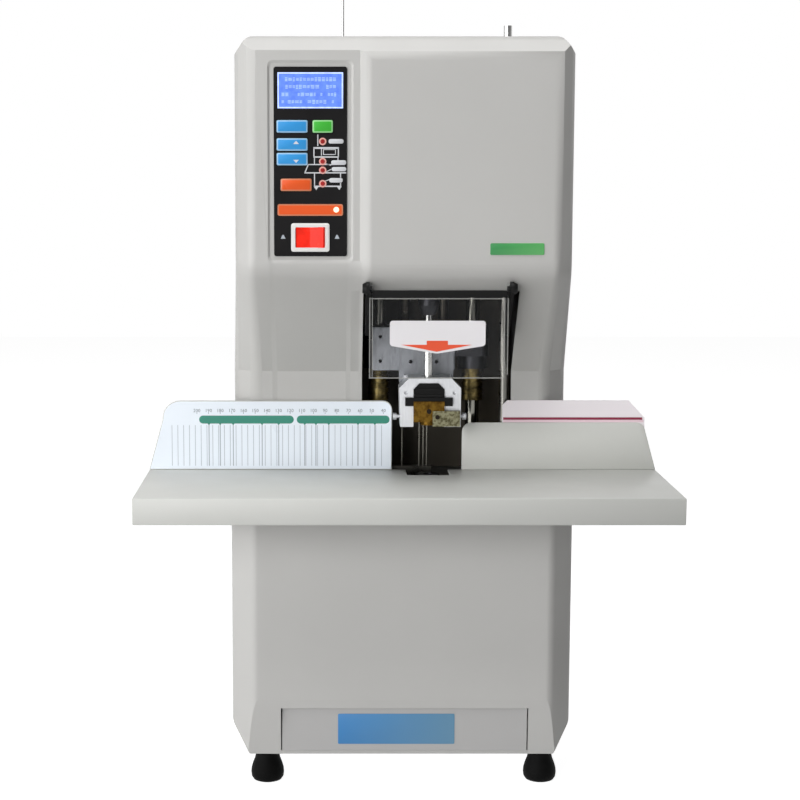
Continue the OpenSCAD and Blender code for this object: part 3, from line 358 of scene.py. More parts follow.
extra = {
    "keyRimBlue": coatedFinish("keyRimBlue", (0.32, 0.55, 0.78), 0.35, 900, 0.00003, 0.03),
    "keyRimGreen": coatedFinish("keyRimGreen", (0.30, 0.68, 0.28), 0.35, 900, 0.00003, 0.03),
    "keyRimOrange": coatedFinish("keyRimOrange", (0.62, 0.21, 0.10), 0.35, 900, 0.00003, 0.03),
    "printWhite": coatedFinish("printWhite", (0.62, 0.63, 0.66), 0.4, 900, 0.00002, 0.03),
    "printGrey": coatedFinish("printGrey", (0.40, 0.44, 0.49), 0.45, 900, 0.00002, 0.05),
    "printDark": coatedFinish("printDark", (0.16, 0.19, 0.22), 0.45, 900, 0.00002, 0.05),
    "printGreen": coatedFinish("printGreen", (0.03, 0.24, 0.17), 0.4, 900, 0.00002, 0.05),
    "printRed": coatedFinish("printRed", (0.24, 0.012, 0.045), 0.4, 900, 0.00002, 0.05),
    "ledRing": coatedFinish("ledRing", (0.72, 0.36, 0.31), 0.4, 900, 0.00002, 0.04),
    "printPink": coatedFinish("printPink", (0.80, 0.62, 0.68), 0.4, 900, 0.00002, 0.03),
    "displayPale": litFinish("displayPale", (0.35, 0.45, 0.85), (0.52, 0.62, 1.0), 0.8),
    "displayRow": litFinish("displayRow", (0.25, 0.35, 0.85), (0.30, 0.43, 1.0), 0.8),
    "ledRed": litFinish("ledRed", (0.30, 0.02, 0.02), (0.5, 0.03, 0.03), 0.1),
    "ledLit": litFinish("ledLit", (1.0, 0.6, 0.4), (1.0, 0.62, 0.42), 1.4),
    "signOrange": coatedFinish("signOrange", (0.80, 0.09, 0.03), 0.35, 900, 0.00002, 0.04),
    "signWhite": coatedFinish("signWhite", (0.80, 0.78, 0.80), 0.3, 900, 0.00002, 0.015),
    # painted highlight on the guard pane's edges
    "paneEdgeHighlight": clearFinish("paneEdgeHighlight", (0.42, 0.42, 0.40), 0.55, 0.12),
    # painted shade for the insides of holes
    "paintedHoleShade": coatedFinish("paintedHoleShade", (0.012, 0.008, 0.004), 0.5, 900, 0.00002, 0.1, **black),
    "labelBlue": fadeFinish("labelBlue", (0.02, 0.20, 0.50), (0.12, 0.30, 0.47), (-56, 43)),
    "badgeGreen": fadeFinish("badgeGreen", (0.02, 0.24, 0.06), (0.12, 0.48, 0.14), (67, 111)),
}

# nodes that look different from the rest of their slot; some are lighter or darker copies of it
# that carry painted light or shade

ownFinish = {
    "cavity_liner": coatedFinish("linerBlack", (0.075, 0.062, 0.042), 0.5, 700, 0.00005, 0.1),
    # casing grey drawn lighter, as painted light on the lower front under the table
    "lower_cover": coatedFinish("lowerGreyPaintedLight", (0.53, 0.525, 0.51), 0.42, 700, 0.00007, 0.02),
    # casing grey drawn darker, as painted shade on the drawer under the table
    "drawer_front": coatedFinish("drawerGreyPaintedShade", (0.47, 0.465, 0.46), 0.42, 700, 0.00007, 0.02),
    # table grey drawn lighter, as painted light on the right fence
    "right_fence": coatedFinish("fenceGreyPaintedLight", (0.60, 0.605, 0.575), 0.4, 900, 0.00006, 0.02),
    # the plate's own dull grey, darkened further as painted shade behind the guard
    "press_plate": metalFinish("plateGreyAndPaintedShade", (0.28, 0.29, 0.31), 0.52, (500, 500, 120), 0.06),
    # steel drawn darker than the bright steel of its slot
    "tube_guide": metalFinish("darkenedTube", (0.20, 0.195, 0.18), 0.3, (50, 50, 60), 0.04, 0.000004),
    # steel drawn dark, as painted shade and dark reflection on the rods
    "rear_stop": metalFinish("rodSteelPaintedShade", (0.12, 0.115, 0.10), 0.34, (50, 50, 60), 0.04, 0.000004),
    "press_screw": metalFinish("oiledScrew", (0.10, 0.09, 0.075), 0.36, (60, 60, 500)),
    "lift_screw": metalFinish("oiledLift", (0.10, 0.09, 0.075), 0.36, (60, 60, 500)),
    # chrome drawn dark, as painted dark reflection of the machine's interior
    "guide_columns": metalFinish("columnChromePaintedShade", (0.24, 0.235, 0.21), 0.16, (20, 20, 90), 0.03,
                                 0.000003),
}

slotOf = {part["node"]: part["material_slot"] for part in frame["record"]["subparts"]}
bodies = frame["record"]["behaviour"]["bodies"]
bodyOf = {name: body for body, members in bodies.items() for name in members}
for name, slotName in slotOf.items():
    mesh = nodes[name].data
    mesh.materials.clear()
    mesh.materials.append(finish[slotName])
for name, material in ownFinish.items():
    nodes[name].data.materials[0] = material
print("finishes set:", len(finish) + len(extra) + len(ownFinish))


# modelling helpers

def makePiece(bm, name, material, body, sharp=32, stands=()):
    bmesh.ops.remove_doubles(bm, verts=bm.verts, dist=1e-7)
    bmesh.ops.recalc_face_normals(bm, faces=bm.faces)
    mesh = bpy.data.meshes.new(name)
    bm.to_mesh(mesh)
    bm.free()
    mesh.polygons.foreach_set("use_smooth", [True] * len(mesh.polygons))
    mesh.set_sharp_from_angle(angle=math.radians(sharp))
    mesh.materials.append(material)
    piece = bpy.data.objects.new(name, mesh)
    scene.collection.objects.link(piece)
    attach(piece, body)
    if stands:
        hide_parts(*stands)


def edgesOf(verts):
    return list({edge for vert in verts for edge in vert.link_edges})


def scaledCube(bm, low, high):
    low, high = vec(*low), vec(*high)
    verts = bmesh.ops.create_cube(bm, size=1.0)["verts"]
    bmesh.ops.scale(bm, vec=high - low, verts=verts)
    bmesh.ops.translate(bm, vec=(low + high) / 2, verts=verts)
    return verts


def runsDeep(edge):
    # from the front to the back
    return abs((edge.verts[0].co - edge.verts[1].co).normalized().y) > 0.9


def addPlate(bm, middle, size, yBack, yFront, corner, soft=0.0, segments=5):
    # upright plate with round corners and a soft front edge
    low = (middle[0] - size[0] / 2, yFront, middle[1] - size[1] / 2)
    high = (middle[0] + size[0] / 2, yBack, middle[1] + size[1] / 2)
    verts = scaledCube(bm, low, high)
    deep = [e for e in edgesOf(verts) if runsDeep(e)]
    made = bmesh.ops.bevel(bm, geom=deep, offset=corner * mm, affect="EDGES",
                           segments=segments, profile=0.5, material=-1)
    verts = list({v for f in made["faces"] for v in f.verts} | {v for v in verts if v.is_valid})
    if soft:
        front = [e for e in edgesOf(verts)
                 if all(abs(v.co.y - yFront * mm) < 1e-7 for v in e.verts)]
        bmesh.ops.bevel(bm, geom=front, offset=soft * mm, affect="EDGES",
                        segments=2, profile=0.5, material=-1)


def pointsOf(made):
    # the new points in what a bmesh operator returns
    return [v for v in made if isinstance(v, bmesh.types.BMVert)]


def facesOf(made):
    return [f for f in made if isinstance(f, bmesh.types.BMFace)]


def addShape(bm, points, yBack, yFront):
    # upright plate with any outline
    face = bm.faces.new([bm.verts.new(vec(x, yBack, z)) for x, z in points])
    pushed = bmesh.ops.extrude_face_region(bm, geom=[face])["geom"]
    bmesh.ops.translate(bm, vec=vec(0, yFront - yBack, 0), verts=pointsOf(pushed))


def addDisc(bm, middle, radius, yBack, yFront, top=None, segments=28):
    made = bmesh.ops.create_cone(bm, cap_ends=True, segments=segments, radius1=radius * mm,
                                 radius2=(radius if top is None else top) * mm,
                                 depth=(yBack - yFront) * mm,
                                 matrix=Matrix.Rotation(math.radians(90), 4, "X"))
    bmesh.ops.translate(bm, vec=vec(middle[0], (yBack + yFront) / 2, middle[1]),
                        verts=made["verts"])


def addTurned(bm, profile, centre, steps=48):
    # profile of radius and height, turned about its upright axis
    made = bmesh.new()
    verts = [made.verts.new(vec(r, 0, z)) for r, z in profile]
    edges = [made.edges.new(pair) for pair in zip(verts, verts[1:])]
    bmesh.ops.spin(made, geom=verts + edges, cent=(0, 0, 0), axis=(0, 0, 1), dvec=(0, 0, 0),
                   angle=math.tau, steps=steps, use_merge=True, use_normal_flip=False,
                   use_duplicate=False)
    made.transform(Matrix.Translation(vec(*centre)))
    mesh = bpy.data.meshes.new("turned")
    made.to_mesh(mesh)
    made.free()
    bm.from_mesh(mesh)
    bpy.data.meshes.remove(mesh)


def roundRect(middle, size, corner, steps=5):
    points = []
    for quarter, (sx, sz) in enumerate(((1, 1), (-1, 1), (-1, -1), (1, -1))):
        for i in range(steps + 1):
            turn = math.radians(90 * (quarter + i / steps))
            points.append((middle[0] + sx * (size[0] / 2 - corner) + corner * math.cos(turn),
                           middle[1] + sz * (size[1] / 2 - corner) + corner * math.sin(turn)))
    return points


def addRim(bm, loops):
    # joins outlines, each a list of points and its depth, into one skin
    rings = [[bm.verts.new(vec(x, y, z)) for x, z in points] for points, y in loops]
    for ring, after in zip(rings, rings[1:]):
        for i in range(len(ring)):
            j = (i + 1) % len(ring)
            bm.faces.new((ring[i], ring[j], after[j], after[i]))


def cleanCopy(node):
    # the node's own form without doubled points and needless edges
    bm = bmesh.new()
    bm.from_mesh(nodes[node].data)
    bmesh.ops.remove_doubles(bm, verts=bm.verts, dist=2e-6)
    bmesh.ops.dissolve_limit(bm, angle_limit=math.radians(0.5), use_dissolve_boundaries=False,
                             verts=bm.verts, edges=bm.edges, delimit=set())
    return bm


def splitBigFaces(bm):
    bmesh.ops.triangulate(bm, faces=[f for f in bm.faces if len(f.verts) > 4])


def soften(node, width, segments=2, angle=28):
    # stands for the node, with its outward edges rounded
    bm = cleanCopy(node)
    sharp = [e for e in bm.edges if len(e.link_faces) == 2
             and e.calc_face_angle_signed(0) > math.radians(angle)]
    bmesh.ops.bevel(bm, geom=sharp, offset=width * mm, affect="EDGES", segments=segments,
                    profile=0.5, material=-1, clamp_overlap=True)
    splitBigFaces(bm)
    makePiece(bm, node + "_soft", nodes[node].data.materials[0], bodyOf[node],
              32, (node,))


# front cover, whose face slants back from the head to the foot behind the fences

coverLook = {
    # depth of the head's and the foot's face, and height of the lip and the foot's two ends
    "headY": -114, "footY": -41.5, "lipZ": 434, "footZ": 345, "baseZ": 258.5,
    "bend": 24, "bendSteps": 6,
    # where the head's outline ends at the foot
    "sides": (-145, 141), "wallFrom": -90, "corners": ((-126.5, -110), (122.5, -114)),
    "creased": 4.3, "bevel": 18.5 / 13,
    # the opening in it, and the cheeks behind its edges
    "open": (-35, 93), "openTop": 417.5, "rim": 3, "cheekY": -22, "ceilingY": -84,
    # the panel's recess
    "pocket": 1.0, "pocketShift": 2.9,
    # large flat faces get a narrow border, which keeps their shading flat
    "flatArea": 3e-4, "flatEdge": 0.3,
}


def coverRows():
    # height of each row, and its share of the way from the head's front to the foot's
    look = coverLook
    reach = look["footY"] - look["headY"]
    lean = math.atan(reach / (look["lipZ"] - look["footZ"]))
    top = look["lipZ"] + look["bend"] * math.tan(lean / 2)
    turns = [lean * i / look["bendSteps"] for i in range(look["bendSteps"] + 1)]
    rows = [(top - look["bend"] * math.sin(turn), look["bend"] * (1 - math.cos(turn)) / reach)
            for turn in turns]
    return rows + [(look["footZ"], 1.0), (look["baseZ"], 1.0)]


def footPlace(x, y):
    # where a point of the head's outline ends at the foot
    look = coverLook
    left, right = look["sides"]
    if y > look["wallFrom"]:
        return (right if x > 0 else left), y
    for (cornerX, cornerY), side in zip(look["corners"], (-1, 1)):
        if (x - cornerX) * side > -look["creased"]:
            wide = cornerX + (x - cornerX) * look["bevel"]
            return min(right, max(left, wide)), look["footY"] + (y - cornerY) * look["bevel"]
    return x, look["footY"]


def cutSkin(bm, faces, point, normal):
    geom = list({v for f in faces for v in f.verts} | {e for f in faces for e in f.edges}) + faces
    made = bmesh.ops.bisect_plane(bm, geom=geom, dist=1e-6, plane_co=vec(*point), plane_no=normal)
    return facesOf(made["geom"])


def outlineFrom(cut):
    # the open edges that hang together with the foremost point, and all their points
    start = min((v for e in cut for v in e.verts), key=lambda v: v.co.y)
    chain, seen = [], {start}
    grown = True
    while grown:
        grown = [e for e in cut if e not in chain and seen & set(e.verts)]
        chain += grown
        seen |= {v for e in grown for v in e.verts}
    return chain, seen


def hangRows(bm, chain, seen, rows):
    # each row starts from the last one and goes on towards its place at the foot
    home = {v: v.co.copy() for v in seen}
    skin = []
    for height, share in rows:
        made = bmesh.ops.extrude_edge_only(bm, edges=chain)["geom"]
        skin += facesOf(made)
        fresh = {}
        for v in pointsOf(made):
            above = next(e.other_vert(v) for e in v.link_edges if e.other_vert(v) in home)
            fresh[v] = home[above]
            x, y = fresh[v].x / mm, fresh[v].y / mm
            endX, endY = footPlace(x, y)
            v.co = vec(x + (endX - x) * share, y + (endY - y) * share, height)
        home = fresh
        chain = [e for e in made if isinstance(e, bmesh.types.BMEdge)]
    return skin


def narrowRecess(bm):
    # the floor of the panel's recess reaches nearly to its rim
    look = coverLook
    low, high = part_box("control_panel")
    middle = (low + high) / 2
    floor = low.y + look["pocket"] * mm
    for v in bm.verts:
        outside = [abs(v.co[i] - middle[i]) - (high[i] - low[i]) / 2 for i in (0, 2)]
        if abs(v.co.y - floor) < 2e-5 and -1e-3 < max(outside) < 1e-3:
            for i in (0, 2):
                v.co[i] += math.copysign(look["pocketShift"] * mm, v.co[i] - middle[i])


def openThroat(bm, skin, back):
    # cuts the opening and gives it a rim, and returns the outlines of its two sides
    look = coverLook
    left, right = look["open"]
    top = look["openTop"]
    skin = cutSkin(bm, skin, (left, 0, 0), (1, 0, 0))
    skin = cutSkin(bm, skin, (right, 0, 0), (1, 0, 0))
    skin = cutSkin(bm, skin, (0, 0, top), (0, 0, 1))
    inside = [f for f in skin if left * mm < f.calc_center_median().x < right * mm
              and f.calc_center_median().z < top * mm]
    bmesh.ops.delete(bm, geom=inside, context="FACES")
    rim = [e for e in bm.edges if e.is_boundary
           and all(left * mm - 1e-5 < v.co.x < right * mm + 1e-5 and v.co.y < back
                   and v.co.z < top * mm + 1e-5 for v in e.verts)]
    sides = {x: sorted({(v.co.y / mm, v.co.z / mm) for e in rim for v in e.verts
                        if abs(v.co.x - x * mm) < 1e-5}, key=lambda p: -p[1])
             for x in (left, right)}
    made = bmesh.ops.extrude_edge_only(bm, edges=rim)["geom"]
    bmesh.ops.translate(bm, vec=vec(0, look["rim"], 0), verts=pointsOf(made))
    return sides


def addFace(bm, points):
    bm.faces.new([bm.verts.new(vec(*p)) for p in points])


def addCheeks(sides):
    look = coverLook
    left, right = look["open"]
    bm = bmesh.new()
    for x, outline in sides.items():
        points = [(y + look["rim"], z) for y, z in outline]
        points += [(look["cheekY"], points[-1][1]), (look["cheekY"], points[0][1])]
        addFace(bm, [(x, y, z) for y, z in points])
    front = sides[right][0][0] + look["rim"]
    z = look["openTop"]
    addFace(bm, ((left, front, z), (right, front, z),
                 (right, look["ceilingY"], z), (left, look["ceilingY"], z)))
    makePiece(bm, "throat_cheeks", finish["black_sheet"], "machine")


def dressCover():
    look = coverLook
    rows = coverRows()
    top = rows[0][0] * mm
    bm = cleanCopy("front_cover")
    bmesh.ops.bisect_plane(bm, geom=bm.verts[:] + bm.edges[:] + bm.faces[:], dist=1e-6,
                           plane_co=(0, 0, top), plane_no=(0, 0, 1), clear_inner=True)
    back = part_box("front_cover")[1].y - 1e-4
    cut = [e for e in bm.edges if e.is_boundary and all(abs(v.co.z - top) < 1e-6 for v in e.verts)
           and min(v.co.y for v in e.verts) < back]
    skin = hangRows(bm, *outlineFrom(cut), rows[1:])
    narrowRecess(bm)
    sides = openThroat(bm, skin, back)
    flat = [f for f in bm.faces if f.calc_area() > look["flatArea"]]
    bmesh.ops.inset_individual(bm, faces=flat, thickness=look["flatEdge"] * mm, depth=0,
                               use_even_offset=True)
    splitBigFaces(bm)
    makePiece(bm, "front_cover_form", finish["casing_grey"], "machine", 32,
              ("front_cover",))
    addCheeks(sides)


dressCover()
print("front cover dressed")


# control panel

panelLook = {
    "face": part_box("control_panel")[0].y / mm,
    "print": 0.14,
    "leds": [(-68.2, 538.7), (-68.2, 522.7), (-68.2, 515.7), (-68.2, 505.0)],
    "ring": {"radius": 3.0, "rise": 0.08},
    "dome": {"radius": 1.9, "top": 1.3, "rise": 0.35},
    "tabForm": {"corner": 1.6, "soft": 0.05, "rise": 0.03},
    "tabs": [((-57.4, 538.8), (12.1, 3.6)), ((-55.3, 521.9), (12.1, 3.6)),
             ((-55.1, 516.6), (11.8, 3.4)), ((-57.5, 507.7), (10.9, 3.6))],
    "lines": [(-72.5, 535.1, -71.7, 544.2), (-75.7, 532.8, -55.2, 534.2),
              (-75.7, 526.0, -74.8, 533.6), (-56.0, 526.0, -55.1, 533.6),
              (-75.7, 525.8, -55.1, 526.8), (-69.5, 527.5, -68.9, 532.8),
              (-67.6, 528.0, -57.6, 528.6), (-67.6, 532.0, -57.6, 532.5),
              (-67.9, 528.0, -67.3, 532.5), (-58.2, 528.0, -57.6, 532.5),
              (-75.2, 520.6, -74.5, 525.9), (-56.2, 520.6, -55.5, 525.9),
              (-79.8, 519.9, -50.6, 520.7), (-82.9, 513.2, -49.2, 514.1),
              (-75.2, 503.0, -74.4, 513.4), (-54.2, 509.8, -53.4, 513.4),
              (-75.2, 502.4, -53.1, 503.4), (-54.2, 503.0, -53.4, 505.6)],
    "slants": [[(-83.2, 513.4), (-82.2, 513.4), (-79.3, 520.4), (-80.2, 520.4)],
               [(-75.4, 502.5), (-71.6, 502.5), (-73.4, 499.9)],
               [(-56.6, 502.5), (-52.9, 502.5), (-54.9, 499.9)],
               [(-66.6, 520.9), (-66.2, 521.5), (-61.5, 519.9), (-61.5, 519.2)],
               [(-66.8, 513.6), (-66.4, 514.2), (-61.3, 516.9), (-61.3, 516.1)],
               [(-67.0, 506.6), (-66.6, 507.3), (-62.8, 508.6), (-62.8, 507.8)]],
    "bar": {"low": (-104.7, 479.2), "high": (-51.8, 488.6), "edge": 1.1},
    "lamp": {"middles": [(-57.2, 484.1)], "radius": 2.3, "top": 1.6, "rise": 0.4},
    "marks": [(-100.3, 461.9), (-56.6, 461.9)],
    "mark": [(-1.9, -1.2), (1.9, -1.2), (0.5, 1.9), (-0.5, 1.9)],
}


def printed(name, material, slotName, draw, lift=0.0, **form):
    # a thin piece on the panel's face
    bm = bmesh.new()
    back = panelLook["face"] - lift
    draw(bm, back, back - panelLook["print"], **form)
    makePiece(bm, name, finish.get(material) or extra[material], "machine")


def drawLines(bm, back, front):
    for x0, z0, x1, z1 in panelLook["lines"]:
        scaledCube(bm, (x0, front, z0), (x1, back, z1))
    for points in panelLook["slants"]:
        addShape(bm, points, back, front)


def drawTabs(bm, back, front):
    form = panelLook["tabForm"]
    for middle, size in panelLook["tabs"]:
        addPlate(bm, middle, size, back, front - form["rise"], form["corner"], form["soft"])


def drawDiscs(bm, back, front, middles, radius, rise, top=None):
    for middle in middles:
        addDisc(bm, middle, radius, back, front - rise, top)


def drawBar(bm, back, front, edge, corner):
    low, high = panelLook["bar"]["low"], panelLook["bar"]["high"]
    middle = [(a + b) / 2 for a, b in zip(low, high)]
    size = [b - a - 2 * edge for a, b in zip(low, high)]
    addPlate(bm, middle, size, back, front, corner)


def drawMarks(bm, back, front):
    for x, z in panelLook["marks"]:
        addShape(bm, [(x + dx, z + dz) for dx, dz in panelLook["mark"]], back, front)


def printPanel():
    look = panelLook
    printed("panel_lines", "printWhite", "switch_white", drawLines)
    printed("panel_tabs", "printWhite", "switch_white", drawTabs)
    printed("panel_rings", "ledRing", "key_orange", drawDiscs, middles=look["leds"],
            **look["ring"])
    printed("panel_bar_rim", "keyRimOrange", "key_orange", drawBar, edge=0, corner=1.6)
    printed("panel_bar", "key_orange", "key_orange", drawBar, lift=0.1,
            edge=look["bar"]["edge"], corner=1.0)
    printed("panel_marks", "printGrey", "switch_white", drawMarks)
    printed("panel_leds", "ledRed", "rocker_red", drawDiscs, lift=0.15, middles=look["leds"],
            **look["dome"])
    printed("panel_lit_led", "ledLit", "rocker_red", drawDiscs, lift=0.2, **look["lamp"])


keyLook = {
    "start_key": {"rim": "keyRimBlue"},
    "up_key": {"rim": "keyRimBlue", "mark": [(0.9, 0.4), (5.5, 0.4), (3.2, 3.0)]},
    "down_key": {"rim": "keyRimBlue", "mark": [(0.9, -0.6), (3.2, -3.2), (5.5, -0.6)]},
    "green_key": {"rim": "keyRimGreen"},
    "orange_key": {"rim": "keyRimOrange"},
}
# back and front of each layer, from the key's face
keyForm = {"edge": 1.1, "rim": (0.02, -0.12), "rimCorner": 1.3, "rimSoft": 0.06,
           "cap": (-0.1, -0.32), "capCorner": 0.8, "capSoft": 0.12, "mark": (-0.3, -0.4)}


def boxEdges(node):
    # left, right, lower and upper edge and the face of a node, in mm
    low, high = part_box(node)
    return low.x / mm, high.x / mm, low.z / mm, high.z / mm, low.y / mm


def dressKey(node, look):
    # a pale rim, a cap in it and a printed arrow
    x0, x1, z0, z1, face = boxEdges(node)
    middle = ((x0 + x1) / 2, (z0 + z1) / 2)
    form = keyForm
    back, front = [face + step for step in form["rim"]]
    bm = bmesh.new()
    addPlate(bm, middle, (x1 - x0, z1 - z0), back, front, form["rimCorner"], form["rimSoft"])
    makePiece(bm, node + "_rim", extra[look["rim"]], node)
    back, front = [face + step for step in form["cap"]]
    size = (x1 - x0 - 2 * form["edge"], z1 - z0 - 2 * form["edge"])
    bm = bmesh.new()
    addPlate(bm, middle, size, back, front, form["capCorner"], form["capSoft"])
    makePiece(bm, node + "_cap", finish[slotOf[node]], node)
    if "mark" in look:
        back, front = [face + step for step in form["mark"]]
        bm = bmesh.new()
        addShape(bm, [(middle[0] + x, middle[1] + z) for x, z in look["mark"]], back, front)
        makePiece(bm, node + "_mark", extra["printWhite"], node)


displayLook = {
    "band": 1.1, "rows": [588.2, 582.3, 576.2, 570.4], "firstStart": 6, "start": 3.2, "end": 7,
    "widths": [1.6, 2.0, 2.4, 3.0], "heights": [2.4, 3.0, 3.4], "filled": 0.82, "gap": 0.7,
    "rowDepths": (0.02, -0.05), "frameRise": 0.12, "seed": 4,
}


def dressDisplay():
    # a lit frame, and rows of plain blocks in the place of writing
    look = displayLook
    x0, x1, z0, z1, face = boxEdges("display")
    band = look["band"]
    back, front = [face + step for step in look["rowDepths"]]
    bm = bmesh.new()
    for a, b in (((x0, z0), (x1, z0 + band)), ((x0, z1 - band), (x1, z1)),
                 ((x0, z0 + band), (x0 + band, z1 - band)),
                 ((x1 - band, z0 + band), (x1, z1 - band))):
        scaledCube(bm, (a[0], face - look["frameRise"], a[1]), (b[0], back, b[1]))
    makePiece(bm, "display_frame", extra["displayPale"], "machine")
    bm = bmesh.new()
    dice = random.Random(look["seed"])
    for row, z in enumerate(look["rows"]):
        x = x0 + (look["start"] if row else look["firstStart"])
        while x < x1 - look["end"]:
            wide = dice.choice(look["widths"])
            if dice.random() < look["filled"]:
                tall = dice.choice(look["heights"])
                for i in range(3):
                    foot = z - tall / 2 + i * tall / 3
                    scaledCube(bm, (x, front, foot), (x + wide, back, foot + tall / 5))
            x += wide + look["gap"]
    makePiece(bm, "display_rows", extra["displayRow"], "machine")


switchLook = {"middle": (-78.25, 461.75), "size": (31, 23), "lip": 3.3, "corner": 2,
              "holeCorner": 0.8, "soft": 0.8, "raise": 0.3, "depth": 1.3}


def dressSwitch():
    look = switchLook
    middle, size = look["middle"], look["size"]
    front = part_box("power_switch")[0].y / mm - look["raise"]
    small = [v - 2 * look["soft"] for v in size]
    hole = [v - 2 * look["lip"] for v in size]
    outer = roundRect(middle, size, look["corner"])
    edge = roundRect(middle, small, look["corner"])
    inner = roundRect(middle, hole, look["holeCorner"])
    bm = bmesh.new()
    addRim(bm, [(outer, panelLook["face"]), (outer, front + look["soft"]), (edge, front),
                (inner, front), (inner, front + look["depth"])])
    makePiece(bm, "switch_bezel", finish["switch_white"], "machine")


printPanel()
for node, look in keyLook.items():
    dressKey(node, look)
dressDisplay()
dressSwitch()
print("panel dressed")


# feet, narrow at the neck and widest low down, and softened edges

footLook = {"centres": ((-115.5, -89), (116.5, -89), (-115.5, 148), (116.5, 148)),
            "profile": ((0, 0), (9.5, 0), (12, 1), (13.6, 3.5), (14, 7), (13.7, 10.5),
                        (12.4, 15), (10.8, 19), (10, 22.5), (9.8, 27), (0, 27))}
softened = {"work_table": 1.6, "right_fence": 0.5, "left_fence": 0.5}


def dressFeet():
    bm = bmesh.new()
    for x, y in footLook["centres"]:
        addTurned(bm, footLook["profile"], (x, y, 0))
    makePiece(bm, "turned_feet", finish["rubber"], "machine", 40, ("rubber_feet",))


dressFeet()
print("feet dressed")
for node, width in softened.items():
    soften(node, width)
print("edges softened")


# scale, limit plate, labels

scaleLook = {
    "face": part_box("ruler_plate")[0].y / mm,
    "zero": 23.5, "numbers": range(40, 201, 10), "textSize": 4.05, "textFoot": 310.1,
    "markZ": (308.6, 309.9), "markHalf": 0.2,
    "bars": [(-174.6, -93.4), (-90.8, -11.2)], "barZ": (300.2, 307.1), "barCorner": 3.4,
    "lines": (-198, -17, 5.0), "lineZ": (263.5, 298.8), "lineHalf": 0.225,
    "darkLines": [-166.2, -156.6, -145.4, -120.6, -106.4, -84.0, -74.4, -63.4, -38.3, -23.8],
    "darkHalf": 0.4, "tip": 1.2, "tipDepth": 1.6,
}


def drawBars(bm, look):
    face = look["face"]
    z0, z1 = look["barZ"]
    for x0, x1 in look["bars"]:
        addPlate(bm, ((x0 + x1) / 2, (z0 + z1) / 2), (x1 - x0, z1 - z0), face, face - 0.1,
                 look["barCorner"], 0, 8)
    z = z0 + 0.1
    for x in look["darkLines"]:
        addShape(bm, [(x - look["tip"], z), (x + look["tip"], z), (x, z - look["tipDepth"])],
                 face, face - 0.1)


def drawGrid(bm, look):
    face = look["face"]
    z0, z1 = look["lineZ"]
    x, end, step = look["lines"]
    half, darkHalf = look["lineHalf"], look["darkHalf"]
    while x < end:
        scaledCube(bm, (x - half, face - 0.06, z0), (x + half, face, z1))
        x += step
    for x in look["darkLines"]:
        scaledCube(bm, (x - darkHalf, face - 0.08, z0), (x + darkHalf, face, look["barZ"][0]))


def drawTicks(bm, look):
    face, half = look["face"], look["markHalf"]
    z0, z1 = look["markZ"]
    for number in look["numbers"]:
        x = look["zero"] - number
        scaledCube(bm, (x - half, face - 0.06, z0), (x + half, face, z1))


def drawNumbers(bm, look):
    for number in look["numbers"]:
        curve = bpy.data.curves.new("number", "FONT")
        curve.body = str(number)
        curve.size = look["textSize"] * mm
        curve.align_x = "CENTER"
        curve.extrude = 0.03 * mm
        curve.resolution_u = 2
        holder = bpy.data.objects.new("number", curve)
        scene.collection.objects.link(holder)
        bpy.context.view_layer.update()
        graph = bpy.context.evaluated_depsgraph_get()
        mesh = bpy.data.meshes.new_from_object(holder.evaluated_get(graph))
        place = vec(look["zero"] - number, look["face"] - 0.03, look["textFoot"])
        mesh.transform(Matrix.Translation(place) @ Matrix.Rotation(math.radians(90), 4, "X"))
        bm.from_mesh(mesh)
        bpy.data.objects.remove(holder)
        bpy.data.meshes.remove(mesh)


def dressScale():
    for name, draw, material in (("scale_bars", drawBars, "printGreen"),
                                 ("scale_lines", drawGrid, "printGrey"),
                                 ("scale_marks", drawTicks, "printDark"),
                                 ("scale_numbers", drawNumbers, "printDark")):
        bm = bmesh.new()
        draw(bm, scaleLook)
        makePiece(bm, name, extra[material], "machine")


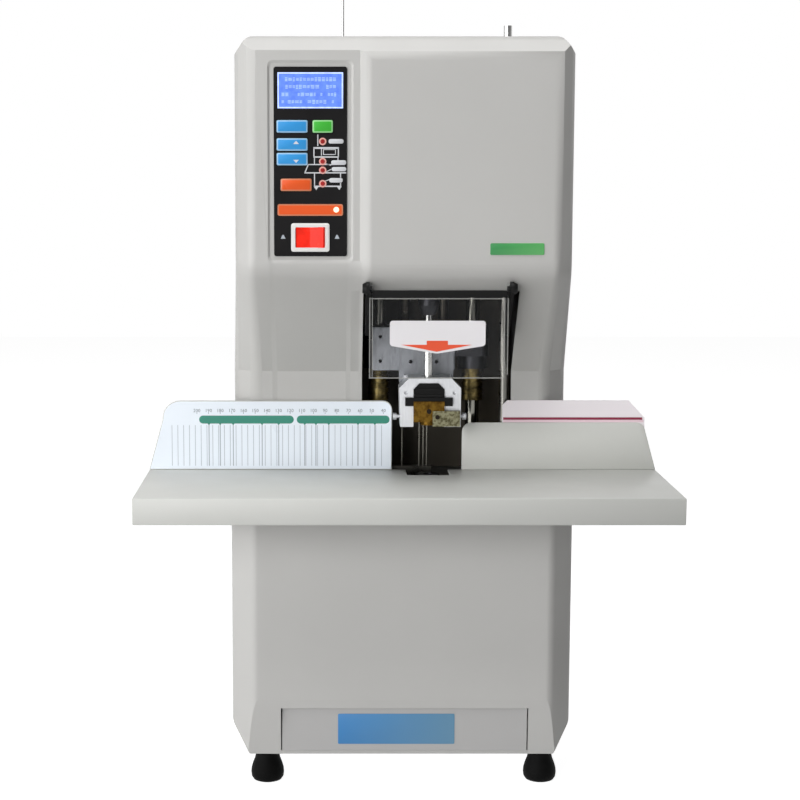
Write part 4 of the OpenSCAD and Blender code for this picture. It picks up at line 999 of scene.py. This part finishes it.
labelLook = {
    "plates": [{"name": "drawer_label", "on": "drawer_front", "body": "drawer",
                "finish": "labelBlue", "slot": "key_blue", "middle": (-6.5, 49.1),
                "size": (98.1, 26.2), "thick": 0.3, "corner": 1.0, "soft": 0.1},
               {"name": "badge_plate", "on": "front_cover", "body": "machine",
                "finish": "badgeGreen", "slot": "key_green", "middle": (89.1, 452.5),
                "size": (43.7, 9.5), "thick": 0.6, "corner": 1.2, "soft": 0.2}],
    "bands": [("limit_line", "printRed", (86.5, 303.2), (206, 305.3)),
              ("limit_band", "printPink", (86.5, 301.0), (207, 303.2))],
    # dark discs of painted shade inside holes: name, place and radius
    "holeShades": [("bracket_screw_hole_shade", 28, 310, -75.5, 1.9),
              ("rivet_head_hole_shade", 21, 314.6, -74, 2.1)],
}
guardLook = {
    "face": -112.0, "signCorner": 2.2,
    "sign": [(-13.6, 394.3), (64.4, 394.3), (64.4, 373.9), (24.7, 367.4), (-13.6, 373.9)],
    "arrow": [(-4.4, 374.7), (16.5, 374.7), (16.5, 378.0), (33.8, 378.0), (33.8, 374.7),
              (53.5, 374.7), (24.7, 369.0)],
    # strips of painted highlight along the pane's edges
    "edges": [(-30.4, 347.0, -29.5, 413.0), (-28.2, 347.0, -27.5, 413.0),
              (79.3, 347.0, 80.2, 413.0), (82.0, 350.0, 82.9, 413.0),
              (-29.5, 411.8, 80.0, 412.7), (-29.5, 347.0, 80.0, 347.9)],
}


def addLabels():
    for look in labelLook["plates"]:
        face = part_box(look["on"])[0].y / mm
        bm = bmesh.new()
        addPlate(bm, look["middle"], look["size"], face, face - look["thick"], look["corner"],
                 look["soft"])
        makePiece(bm, look["name"], extra[look["finish"]], look["body"])
    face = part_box("limit_plate")[0].y / mm
    for name, material, low, high in labelLook["bands"]:
        bm = bmesh.new()
        scaledCube(bm, (low[0], face - 0.12, low[1]), (high[0], face, high[1]))
        makePiece(bm, name, extra[material], "machine")


def dressGuard():
    # a bare sign with an arrow, and strips of painted highlight along the pane's edges
    look = guardLook
    face = look["face"]
    bm = bmesh.new()
    addShape(bm, look["sign"], face, face - 0.4)
    deep = [e for e in bm.edges if runsDeep(e)]
    bmesh.ops.bevel(bm, geom=deep, offset=look["signCorner"] * mm, affect="EDGES",
                    segments=4, profile=0.5, material=-1)
    makePiece(bm, "guard_plate", extra["signWhite"], "shield")
    bm = bmesh.new()
    addShape(bm, look["arrow"], face - 0.4, face - 0.5)
    makePiece(bm, "guard_arrow", extra["signOrange"], "shield")
    bm = bmesh.new()
    for x0, z0, x1, z1 in look["edges"]:
        scaledCube(bm, (x0, face - 0.3, z0), (x1, face, z1))
    makePiece(bm, "guard_edge_highlights", extra["paneEdgeHighlight"], "shield")


# dark discs over holes, painted shade where their insides lie
def addHoles():
    for name, x, z, y, radius in labelLook["holeShades"]:
        bm = bmesh.new()
        addDisc(bm, (x, z), radius, y + 0.6, y - 0.15)
        makePiece(bm, name, extra["paintedHoleShade"], "press")


dressScale()
addLabels()
dressGuard()
addHoles()
print("labels and scale dressed")
